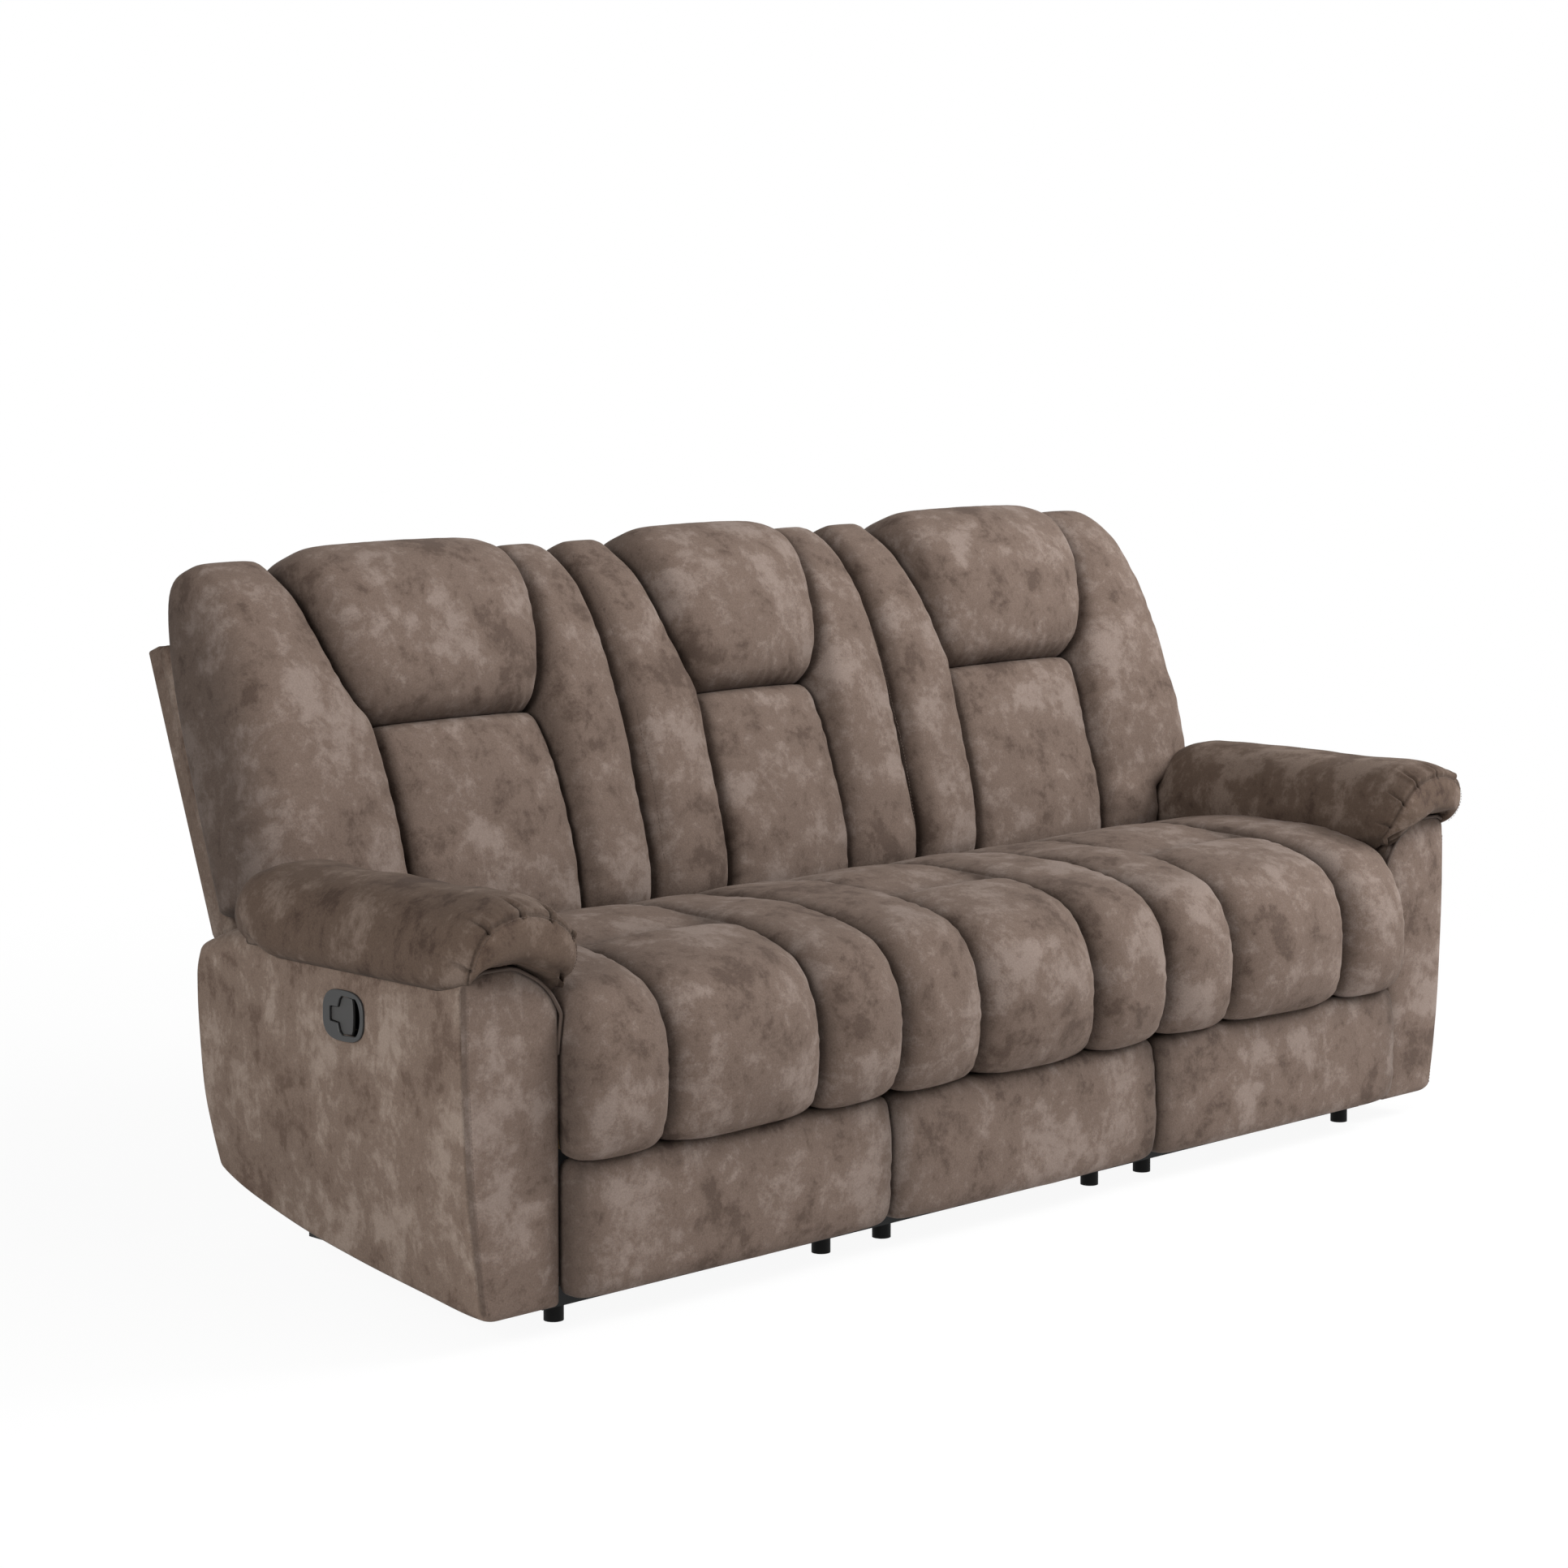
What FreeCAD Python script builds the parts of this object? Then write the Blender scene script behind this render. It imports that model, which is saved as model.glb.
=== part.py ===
import FreeCAD, Part
import math
import os
from FreeCAD import Vector

# Three-seat reclining sofa. Millimetres, +Z up, +Y to the back, +X to the right as one faces the sofa.
# Depths are measured from the front plane of the arms. The exporter moves the whole model so that its
# origin is the centre of its footprint, on the floor.
FRONT_TO_ORIGIN = 373.1

# Overall layout across the width
MIDDLE_HALF = 298.0          # half width of the middle seat
ARM_INNER = 918.0            # inner face of an arm
GAP = 3.0                    # clearance on each side of a seat or back
EAR_OUT = 1000.0             # outer edge of the wide bolster above the arm
SEAT_OUT = ARM_INNER - 9.0   # outer edge of an end seat

# Base
FOOT_H = 22.0
FOOT_R = 14.0
REAR_FOOT_X = 800.0           # the outermost feet under the rear rail
RAIL_TOP = 50.0
FRONT_RAIL_Y = 34.0
REAR_RAIL_Y = 545.0
RAIL_DEPTH = 32.0
SIDE_RAIL_X = (235.0, 362.0, 878.0)
SIDE_RAIL_W = 24.0
FRONT_RAIL_HALF = 912.0
REAR_RAIL_HALF = 892.0

# Seat frame and springs
FRAME_LOW = 245.0
FRAME_TOP = 300.0
FRAME_BACK = 500.0
FRAME_T = 32.0
SIDE_T = 25.0
SPRING_R = 1.8
SPRING_PITCH = 48.0
SPRING_HALF = 17.0
SPRING_LOOPS = 8

# Seat cushion
CUSHION_BOTTOM = 306.0
CUSHION_BACK = 440.0
CHANNEL_END_SEAT = 147.0
CHANNEL_MIDDLE = 128.0

# Reclining back: hinge line and lean at rest
HINGE_Y = 560.0
HINGE_Z = 330.0
LEAN = 21.0
PAD_BACK = 11.0
SHELL_FRONT = 15.0
SHELL_BACK = 68.0
SHELL_T = 9.0
FRAME_DEPTH = 40.0

# Mechanism of an end seat, one steel layer beside the other
PLATE_IN = 364.0
PLATE_T = 4.0
LAYER = 6.0
MECH_CENTRE = 620.0
DRIVE_Y = 235.0
DRIVE_Z = 290.0
DRIVE_LEN = 220.0
DRIVE_ANGLE = -60.0
DRIVE_OPEN = -155.0
ARM_OPEN_TURN = -17.0
FOOTREST_PIVOT_Y = 18.0
FOOTREST_PIVOT_Z = 140.0
REAR_LINK_OFFSET = 56.0
REAR_LINK_OFFSET_ANGLE = -30.0
REAR_LINK_Z = 262.0
LINK_W = 22.0
PIN_R = 4.0
PIN_CLEAR = 0.05
TUBE_R = 10.0

# Footrest and the matching panel of the middle seat
PANEL_LOW = 37.0
PANEL_TOP = 228.0
PANEL_FRONT = -47.0
PANEL_BOARD_Y = -8.0
PANEL_BOARD_T = 15.0

# Release handle on the outer face of each arm
HANDLE_Y = 236.0
HANDLE_Z = 421.0
HANDLE_X = 1090.0
BEZEL_LENGTH = 88.0
BEZEL_HEIGHT = 70.0
CUP_LENGTH = 70.0
CUP_HEIGHT = 56.0
CUP_DEPTH = 36.0
CUP_WALL = 3.0
LEVER_T = 6.0
LEVER_PIVOT_Y = HANDLE_Y + 25.0
LEVER_INSET = 3.0
PADDLE_Y = (HANDLE_Y - 15.0, HANDLE_Y + 11.0)
PADDLE_HALF = 21.0
NECK_HALF = 9.0
CABLE_R = 3.0
CABLE_LOW = 112.0
CABLE_HOLE_R = 6.0


def box(x0, x1, y0, y1, z0, z1):
    return Part.makeBox(x1 - x0, y1 - y0, z1 - z0, Vector(x0, y0, z0))


def bar_x(x0, x1, y, z, radius):
    return Part.makeCylinder(radius, x1 - x0, Vector(x0, y, z), Vector(1, 0, 0))


def mirrored(shape):
    return shape.mirror(Vector(0, 0, 0), Vector(1, 0, 0))


def wire(place, start, steps):
    """Closed wire. A step is an end point for a line, or (middle, end) for an arc."""
    edges = []
    here = start
    for step in steps:
        if isinstance(step[0], tuple):
            middle, end = step
            edges.append(Part.Arc(place(*here), place(*middle), place(*end)).toShape())
        else:
            end = step
            edges.append(Part.LineSegment(place(*here), place(*end)).toShape())
        here = end
    return Part.Wire(edges)


def loft(wires, ruled=False):
    return Part.makeLoft(wires, True, ruled)


def extruded_yz(x0, x1, start, steps):
    face = Part.Face(wire(lambda y, z: Vector(x0, y, z), start, steps))
    return face.extrude(Vector(x1 - x0, 0, 0))


def polygon_yz(x0, x1, points):
    return extruded_yz(x0, x1, points[0], list(points[1:]) + [points[0]])


def polar(length, degrees):
    angle = math.radians(degrees)
    return length * math.cos(angle), length * math.sin(angle)


def leaned(shape):
    """Turn a back piece, built upright about the hinge line, to its lean at rest."""
    shape.rotate(Vector(0, HINGE_Y, HINGE_Z), Vector(1, 0, 0), -LEAN)
    return shape


# Base: two cross rails, six side rails, feet and the brackets that carry the arms
def base_rail(y, half):
    return box(-half, half, y, y + RAIL_DEPTH, FOOT_H, RAIL_TOP)


def base_side_rails():
    rails = []
    y0 = FRONT_RAIL_Y + RAIL_DEPTH
    for x in SIDE_RAIL_X:
        rail = box(x - SIDE_RAIL_W / 2, x + SIDE_RAIL_W / 2, y0, REAR_RAIL_Y, FOOT_H, RAIL_TOP)
        rails += [rail, mirrored(rail)]
    return Part.makeCompound(rails)


def feet():
    """Round feet under the cross rails. The outer ones at the rear are set in from the arms."""
    made = []
    front_y = FRONT_RAIL_Y + RAIL_DEPTH / 2
    rear_y = REAR_RAIL_Y + RAIL_DEPTH / 2
    for x in SIDE_RAIL_X:
        for side in (-1, 1):
            made.append(Part.makeCylinder(FOOT_R, FOOT_H, Vector(side * x, front_y, 0)))
            made.append(Part.makeCylinder(FOOT_R, FOOT_H, Vector(side * min(x, REAR_FOOT_X), rear_y, 0)))
    return Part.makeCompound(made)


def arm_brackets():
    """Steel angles from the outer side rails to the arms, and a small anchor for each release cable."""
    x0 = SIDE_RAIL_X[2] + SIDE_RAIL_W / 2
    sheet = 4.0
    made = []
    for y in (90.0, 400.0):
        upright = box(x0, x0 + sheet, y, y + 40, FOOT_H, 160)
        tab = box(x0 + sheet, ARM_INNER, y, y + 40, 156, 160)
        made.append(upright.fuse(tab).removeSplitter())
    made.append(box(x0, x0 + sheet, HANDLE_Y - 12, HANDLE_Y + 12, FOOT_H, CABLE_LOW + 12))
    return Part.makeCompound(made + [mirrored(piece) for piece in made])


# Arms: a padded cover over a timber frame, and a rolled pad draped over the arched top
# One row per section: depth, inset all round, bottom, and the height of the arch at inside, apex and outside
ARM_SECTIONS = (
    (-22.0, 14.0, 46.0, 438.0, 494.0, 466.0),
    (-8.0, 0.0, 37.0, 455.0, 511.0, 480.0),
    (80.0, 0.0, 48.0, 455.0, 511.0, 480.0),
    (250.0, 0.0, 68.0, 455.0, 511.0, 480.0),
    (430.0, 0.0, 104.0, 455.0, 511.0, 480.0),
    (545.0, 0.0, 142.0, 448.0, 492.0, 468.0),
    (580.0, 16.0, 186.0, 425.0, 456.0, 440.0),
)
ARM_APEX_X = 1012.0
ARM_SHOULDER_X = 1090.0
ARM_SIDE_X = 1081.0
ARM_SIDE_Z = 260.0
ARM_FOOT_X = 1050.0


def arm_section(y, inset, low, inside, apex, outside):
    def place(x, z):
        return Vector(x, y, z)
    x0 = ARM_INNER + inset
    shoulder = (ARM_SHOULDER_X - inset, outside)
    top = ((ARM_APEX_X, apex), (x0, inside))
    side = ((ARM_SIDE_X - inset, ARM_SIDE_Z), shoulder)
    return wire(place, (x0, low), [(ARM_FOOT_X - inset, low), side, top, (x0, low)])


CAVITY_IN = ARM_INNER + 12.0
CAVITY_OUT = 1040.0
CAVITY = ((30.0, 72.0), (300.0, 98.0), (520.0, 160.0), (520.0, 430.0), (30.0, 430.0))


def arm_cover():
    solid = loft([arm_section(*row) for row in ARM_SECTIONS], ruled=True)
    solid = solid.cut(polygon_yz(CAVITY_IN, CAVITY_OUT, CAVITY))
    cup_y = CUP_LENGTH / 2 + 1
    cup_z = CUP_HEIGHT / 2 + 1
    solid = solid.cut(box(CAVITY_OUT - 5, HANDLE_X + 20, HANDLE_Y - cup_y, HANDLE_Y + cup_y,
                          HANDLE_Z - cup_z, HANDLE_Z + cup_z))
    rim_y = BEZEL_LENGTH / 2 + 0.5
    rim_z = BEZEL_HEIGHT / 2 + 0.5
    solid = solid.cut(octagon_prism(HANDLE_X + 0.5, HANDLE_X + 20, rim_y, rim_z, FLANGE_CUT))
    return solid.cut(bar_x(ARM_INNER - 5, CAVITY_IN + 5, HANDLE_Y, CABLE_LOW, CABLE_HOLE_R))


def arm_frame():
    """Plywood inner panel with a front post, a rear post and a top rail, closed inside the cover."""
    ply = 12.0
    x0 = CAVITY_IN + 1
    x1 = x0 + ply
    out = CAVITY_OUT - 2
    panel = polygon_yz(x0, x1, ((33, 74), (300, 100), (517, 162), (517, 428), (33, 428)))
    panel = panel.cut(bar_x(x0 - 1, x1 + 1, HANDLE_Y, CABLE_LOW, CABLE_HOLE_R))
    front = box(x1, out, 33, 73, 78, 428)
    rear = box(x1, out, 480, 517, 162, 428)
    top = box(x1, x1 + 40, 73, 480, 388, 428)
    return panel.fuse([front, rear, top]).removeSplitter()


# One row per section of the arm pad: depth, drop of the crown below its full height, sideways draw-in
PAD_SECTIONS = (
    (-58.0, 44.0, 22.0),
    (-46.0, 22.0, 8.0),
    (-10.0, 6.0, 1.0),
    (70.0, 0.0, 0.0),
    (250.0, 0.0, 0.0),
    (400.0, 8.0, 1.0),
    (455.0, 24.0, 6.0),
    (480.0, 52.0, 18.0),
)
PAD_CROWN_Z = 603.0
PAD_OUT_X = 1105.0
PAD_IN_X = 906.0


def arm_pad_section(y, drop, draw):
    """Saddle section: the underside follows the arch of the arm, half a millimetre clear of it."""
    def place(x, z):
        return Vector(x, y, z)
    lift = 2.5
    inner = (ARM_INNER + draw, 455.0 + lift + draw * 0.9)
    outer = (ARM_SHOULDER_X - draw, 480.0 + lift + draw * 0.9)
    under = ((ARM_APEX_X, 511.0 + lift), inner)
    crown_in = (950.0 + draw * 0.5, PAD_CROWN_Z - 16.0 - drop)
    crown_out = (1070.0 - draw * 0.5, PAD_CROWN_Z - 18.0 - drop)
    inner_side = ((PAD_IN_X + draw, 520.0 - drop * 0.1), crown_in)
    crown = ((ARM_APEX_X - 4, PAD_CROWN_Z - drop), crown_out)
    outer_side = ((PAD_OUT_X - draw, 528.0 - drop * 0.1), outer)
    return wire(place, inner, [inner_side, crown, outer_side, under])


def arm_pad():
    return loft([arm_pad_section(*row) for row in PAD_SECTIONS])


# Release handle: a moulded cup with a flange, and the lever that turns in it
def octagon(x, half_y, half_z, cut):
    def place(y, z):
        return Vector(x, HANDLE_Y + y, HANDLE_Z + z)
    a, b, c = half_y, half_z, cut
    points = [(a, b - c), (a - c, b), (c - a, b), (-a, b - c),
              (-a, c - b), (c - a, -b), (a - c, -b), (a, c - b)]
    return wire(place, points[0], points[1:] + [points[0]])


def octagon_prism(x0, x1, half_y, half_z, cut):
    return Part.Face(octagon(x0, half_y, half_z, cut)).extrude(Vector(x1 - x0, 0, 0))


FLANGE_T = 4.0
CUP_CUT = 12.0
FLANGE_CUT = 20.0


def handle_bezel():
    flange_y = BEZEL_LENGTH / 2
    flange_z = BEZEL_HEIGHT / 2
    cup_y = CUP_LENGTH / 2
    cup_z = CUP_HEIGHT / 2
    cup_back = HANDLE_X - CUP_DEPTH
    flange = octagon_prism(HANDLE_X + 1, HANDLE_X + 1 + FLANGE_T, flange_y, flange_z, FLANGE_CUT)
    cup = octagon_prism(cup_back, HANDLE_X + 1, cup_y, cup_z, CUP_CUT)
    hollow = octagon_prism(cup_back + CUP_WALL, HANDLE_X + 2 + FLANGE_T, cup_y - CUP_WALL, cup_z - CUP_WALL,
                           CUP_CUT - 1)
    shell = flange.fuse(cup).removeSplitter().cut(hollow)
    pin_z = CUP_HEIGHT / 2 - CUP_WALL
    pin = Part.makeCylinder(2.0, 2 * pin_z, Vector(HANDLE_X - LEVER_INSET, LEVER_PIVOT_Y, HANDLE_Z - pin_z))
    return shell.fuse(pin)


def handle_lever():
    """T-shaped paddle: a narrow neck towards the back, where it turns, and a wide pull at the front."""
    x = HANDLE_X - LEVER_INSET
    x0 = x - LEVER_T / 2
    x1 = x + LEVER_T / 2
    front, rear = PADDLE_Y
    neck = box(x0, x1, rear, LEVER_PIVOT_Y, HANDLE_Z - NECK_HALF, HANDLE_Z + NECK_HALF)
    foot = Vector(x, LEVER_PIVOT_Y, HANDLE_Z - NECK_HALF)
    barrel = Part.makeCylinder(LEVER_T / 2 + 0.5, 2 * NECK_HALF, foot)
    paddle = box(x0, x1, front, rear, HANDLE_Z - PADDLE_HALF, HANDLE_Z + PADDLE_HALF)
    lip = box(x0 - 6, x0, front, front + 5, HANDLE_Z - PADDLE_HALF + 4, HANDLE_Z + PADDLE_HALF - 4)
    lever = neck.fuse([barrel, paddle, lip]).removeSplitter()
    return lever.cut(Part.makeCylinder(2.0 + PIN_CLEAR, 30, Vector(x, LEVER_PIVOT_Y, HANDLE_Z - 15)))


def release_cable():
    """Sheathed cable from the cup down through the arm to its anchor on the outer side rail."""
    def place(x, z):
        return Vector(x, HANDLE_Y, z)
    start_x = HANDLE_X - CUP_DEPTH
    end_x = SIDE_RAIL_X[2] + SIDE_RAIL_W / 2 + 4.0
    down_x = 1014.0
    r_top = 26.0
    r_low = 44.0
    k = math.sqrt(0.5)
    turn_in = place(down_x + r_top, HANDLE_Z)
    turn_down = place(down_x, HANDLE_Z - r_top)
    turn_up = place(down_x, CABLE_LOW + r_low)
    turn_out = place(down_x - r_low, CABLE_LOW)
    edges = [Part.LineSegment(place(start_x, HANDLE_Z), turn_in).toShape()]
    middle = place(down_x + r_top - r_top * k, HANDLE_Z - r_top + r_top * k)
    edges.append(Part.Arc(turn_in, middle, turn_down).toShape())
    edges.append(Part.LineSegment(turn_down, turn_up).toShape())
    middle = place(down_x - r_low + r_low * k, CABLE_LOW + r_low - r_low * k)
    edges.append(Part.Arc(turn_up, middle, turn_out).toShape())
    edges.append(Part.LineSegment(turn_out, place(end_x, CABLE_LOW)).toShape())
    ring = Part.Wire(Part.makeCircle(CABLE_R, place(start_x, HANDLE_Z), Vector(1, 0, 0)))
    return Part.Wire(edges).makePipeShell([ring], True, False)


# Seat: frame rails, sinuous springs and the channelled cushion
def seat_frame(x0, x1, side_in, side_out, play=0.0):
    """Front rail, two side rails and a rear rail between them, with room for a steel plate at each end."""
    front = box(x0, x1, 0, FRAME_T, FRAME_LOW, FRAME_TOP)
    rear = box(side_in + SIDE_T + play, side_out - SIDE_T - play, FRAME_BACK - FRAME_T, FRAME_BACK,
               FRAME_LOW, FRAME_TOP)
    inner = box(side_in, side_in + SIDE_T, FRAME_T, FRAME_BACK, FRAME_LOW, FRAME_TOP)
    outer = box(side_out - SIDE_T, side_out, FRAME_T, FRAME_BACK, FRAME_LOW, FRAME_TOP)
    return [front, rear, inner, outer]


def middle_seat_frame():
    x = SIDE_RAIL_X[0]
    rails = seat_frame(-MIDDLE_HALF + 12, MIDDLE_HALF - 12, -x - 12, x + 12)
    for side in (-1, 1):
        for y in (90.0, 420.0):
            rails.append(box(side * x - 12, side * x + 12, y, y + 40, RAIL_TOP, FRAME_LOW))
    return Part.makeCompound(rails)


def sinuous_spring(x):
    """Zigzag wire from the front rail to the rear rail: cross runs joined by half turns."""
    z = FRAME_TOP + SPRING_R
    turn = SPRING_PITCH / 2
    y = FRAME_T / 2 + 26.0
    edges = []
    side = -1
    start = Vector(x, y, z)
    for loop in range(SPRING_LOOPS):
        y0 = y + loop * SPRING_PITCH
        end_x = x + side * SPRING_HALF
        edges.append(Part.LineSegment(start, Vector(end_x, y0, z)).toShape())
        far = Vector(end_x + side * turn, y0 + turn, z)
        start = Vector(end_x, y0 + SPRING_PITCH, z)
        edges.append(Part.Arc(Vector(end_x, y0, z), far, start).toShape())
        side = -side
    edges.append(Part.LineSegment(start, Vector(x, y + SPRING_LOOPS * SPRING_PITCH, z)).toShape())
    ring = Part.Wire(Part.makeCircle(SPRING_R, Vector(x, y, z), Vector(1, 0, 0)))
    return Part.Wire(edges).makePipeShell([ring], True, False)


def seat_springs(x0, x1):
    count = 4
    step = (x1 - x0) / count
    return Part.makeCompound([sinuous_spring(x0 + (i + 0.5) * step) for i in range(count)])


# One row per kind of cushion section: front pull-back, crown drop, rise of the front hem
CUSHION_FORMS = {
    "edge": (26.0, 34.0, 16.0),
    "shoulder": (9.0, 12.0, 6.0),
    "full": (0.0, 0.0, 0.0),
    "seam": (15.0, 13.0, 12.0),
}


def cushion_section(x, form):
    pull, drop, rise = CUSHION_FORMS[form]

    def place(y, z):
        return Vector(x, y, z)
    hem = ((-40.0 + pull * 0.3, 233.0 + rise), (-72.0 + pull * 0.8, 258.0 + rise))
    front = ((-90.0 + pull, 350.0), (-64.0 + pull * 0.8, 432.0 - drop * 0.6))
    nose = ((-12.0 + pull * 0.4, 478.0 - drop), (70.0, 493.0 - drop))
    top = ((250.0, 500.0 - drop), (CUSHION_BACK - 6, 466.0 - drop * 0.4))
    steps = [(-5.0, CUSHION_BOTTOM), (-5.0, 262.0 + rise), hem, front, nose, top,
             (CUSHION_BACK, CUSHION_BOTTOM)]
    return wire(place, (CUSHION_BACK, CUSHION_BOTTOM), steps)


def seat_cushion(x0, x1, channel):
    """Three channels: narrow, wide, narrow, drawn in at the seams and at both ends."""
    centre = (x0 + x1) / 2
    left = centre - channel
    right = centre + channel
    beside = 20.0
    rows = [(x0, "edge"), (x0 + beside, "shoulder"), ((x0 + left) / 2, "full"),
            (left - beside, "shoulder"), (left, "seam"), (left + beside, "shoulder"), (centre, "full"),
            (right - beside, "shoulder"), (right, "seam"), (right + beside, "shoulder"),
            ((right + x1) / 2, "full"), (x1 - beside, "shoulder"), (x1, "edge")]
    return loft([cushion_section(x, form) for x, form in rows])


# Back: each piece is built upright about the hinge line and then leaned
# Heights above the hinge line, with the inner and outer edges of lumbar pad and head pillow there
PAD_LOW = 50.0
PILLOW_LOW = 409.0
PILLOW_TOP = 690.0
PILLOW_GAP = 5.0
LUMBAR_INSET = 2.0
EAR_LOW = 192.0
BACK_TOP = 600.0
END_EDGES = (
    (50.0, 441.0, 761.0), (95.0, 441.0, 761.0), (160.0, 443.0, 763.0), (300.0, 447.0, 770.0),
    (400.0, 455.0, 780.0), (409.0, 455.0, 782.0), (430.0, 451.0, 795.0), (500.0, 438.0, 822.0),
    (600.0, 427.0, 841.0), (665.0, 424.0, 846.0), (681.0, 430.0, 842.0), (690.0, 448.0, 824.0),
)
MIDDLE_EDGES = (
    (50.0, -132.0, 132.0), (95.0, -132.0, 132.0), (160.0, -132.0, 132.0), (300.0, -132.0, 132.0),
    (400.0, -131.0, 131.0), (409.0, -131.0, 131.0), (430.0, -138.0, 138.0), (500.0, -157.0, 157.0),
    (600.0, -170.0, 170.0), (665.0, -176.0, 176.0), (681.0, -172.0, 172.0), (690.0, -154.0, 154.0),
)
# Depth of the side seams and of the crown, forward of the hinge line, by height
LUMBAR_FORM = ((50.0, -100.0, -116.0), (95.0, -128.0, -146.0), (160.0, -132.0, -164.0),
               (300.0, -132.0, -168.0), (355.0, -130.0, -162.0), (385.0, -124.0, -152.0),
               (403.0, -112.0, -130.0))
PILLOW_FORM = ((409.0, -112.0, -146.0), (430.0, -126.0, -184.0), (500.0, -128.0, -204.0),
               (600.0, -126.0, -202.0), (665.0, -116.0, -186.0), (690.0, -104.0, -160.0))
BOLSTER_FORM = ((50.0, -96.0, -116.0), (95.0, -126.0, -150.0), (160.0, -134.0, -168.0),
                (300.0, -136.0, -178.0), (355.0, -136.0, -180.0), (400.0, -136.0, -182.0),
                (430.0, -136.0, -182.0), (500.0, -135.0, -180.0), (600.0, -126.0, -168.0),
                (665.0, -96.0, -132.0), (681.0, -74.0, -104.0))
EAR_FORM = ((192.0, -104.0, -128.0), (214.0, -122.0, -158.0), (300.0, -134.0, -182.0),
            (355.0, -135.0, -184.0), (400.0, -135.0, -186.0), (430.0, -134.0, -186.0),
            (500.0, -130.0, -182.0), (600.0, -120.0, -170.0), (655.0, -90.0, -136.0), (679.0, -58.0, -98.0))


def edge_at(edges, height):
    """Inner and outer edge of the centre pads at a height, straight between the listed heights."""
    for low, high in zip(edges, edges[1:]):
        if low[0] <= height <= high[0]:
            part = (height - low[0]) / (high[0] - low[0])
            return tuple(a + (b - a) * part for a, b in zip(low[1:], high[1:]))
    raise ValueError(height)


def back_section(height, x0, x1, side, crown, rear=PAD_BACK):
    """Level section of a back pad: flat rear, straight sides and a crowned front."""
    def place(x, y):
        return Vector(x, HINGE_Y + y, HINGE_Z + height)
    front = (((x0 + x1) / 2, crown), (x0, side))
    return wire(place, (x0, rear), [(x1, rear), (x1, side), front, (x0, rear)])


def lumbar_pad(edges):
    rows = []
    for height, side, crown in LUMBAR_FORM:
        x0, x1 = edge_at(edges, height)
        rows.append(back_section(height, x0 + LUMBAR_INSET, x1 - LUMBAR_INSET, side, crown))
    return leaned(loft(rows, ruled=True))


def head_pillow(edges):
    rows = []
    for height, side, crown in PILLOW_FORM:
        x0, x1 = edge_at(edges, height)
        rear = PAD_BACK if height < PILLOW_TOP else -10.0
        rows.append(back_section(height, x0, x1, side, crown, rear))
    return leaned(loft(rows, ruled=True))


def inner_bolster(edges, outside):
    """Narrow full-height bolster between a boundary at x = outside and the centre pads."""
    rows = []
    for height, side, crown in BOLSTER_FORM:
        inner, outer = edge_at(edges, height)
        low, high = (outside, inner - PILLOW_GAP) if outside < inner else (outer + PILLOW_GAP, outside)
        draw = 10.0 if height > BACK_TOP + 70 else 0.0
        rear = PAD_BACK if height < BACK_TOP + 70 else -4.0
        rows.append(back_section(height, low + draw, high - draw, side, crown, rear))
    return leaned(loft(rows, ruled=True))


def outer_bolster():
    """Bolster beside the arm: a column behind the arm, and a wide ear above it."""
    column = []
    for height, side, crown in BOLSTER_FORM:
        if height < EAR_LOW:
            inner = edge_at(END_EDGES, height)[1] + PILLOW_GAP
            column.append(back_section(height, inner, SEAT_OUT - GAP, side, crown))
    inner = edge_at(END_EDGES, EAR_LOW)[1] + PILLOW_GAP
    column.append(back_section(EAR_LOW - 0.5, inner, SEAT_OUT - GAP, -134.0, -170.0))
    ear = []
    for height, side, crown in EAR_FORM:
        draw = 12.0 if height in (EAR_LOW, EAR_FORM[-1][0]) else 0.0
        rear = PAD_BACK if height < BACK_TOP + 70 else -4.0
        x0 = edge_at(END_EDGES, height)[1] + PILLOW_GAP
        ear.append(back_section(height, x0, EAR_OUT - 2 * draw, side, crown, rear))
    return [leaned(loft(column, ruled=True)), leaned(loft(ear, ruled=True))]


def upright_outline(y0, y1, points):
    def place(x, z):
        return Vector(x, HINGE_Y + y0, HINGE_Z + z)
    face = Part.Face(wire(place, points[0], list(points[1:]) + [points[0]]))
    return face.extrude(Vector(0, y1 - y0, 0))


SHELL_LOW = -20.0
SHELL_STEP = 150.0
SHELL_OUT = 985.0


def shell_outline(inset, x0):
    """Rear shell of an end back: it widens behind the ear, above the arm."""
    low = SHELL_LOW + (0.0 if inset == 0 else -1.0)
    top = BACK_TOP - inset
    corner = 42.0
    return ((x0 + inset, low), (SEAT_OUT - GAP - inset, low), (SEAT_OUT - GAP - inset, SHELL_STEP + inset),
            (SHELL_OUT - inset, SHELL_STEP + inset), (SHELL_OUT - inset, top - corner),
            (SHELL_OUT - inset - corner, top), (x0 + inset + corner, top), (x0 + inset, top - corner))


def rear_cover_end():
    x0 = MIDDLE_HALF + GAP
    outer = upright_outline(SHELL_FRONT, SHELL_BACK, shell_outline(0.0, x0))
    pocket = upright_outline(SHELL_FRONT - 1, SHELL_FRONT + FRAME_DEPTH, shell_outline(SHELL_T, x0))
    return leaned(outer.cut(pocket))


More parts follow.
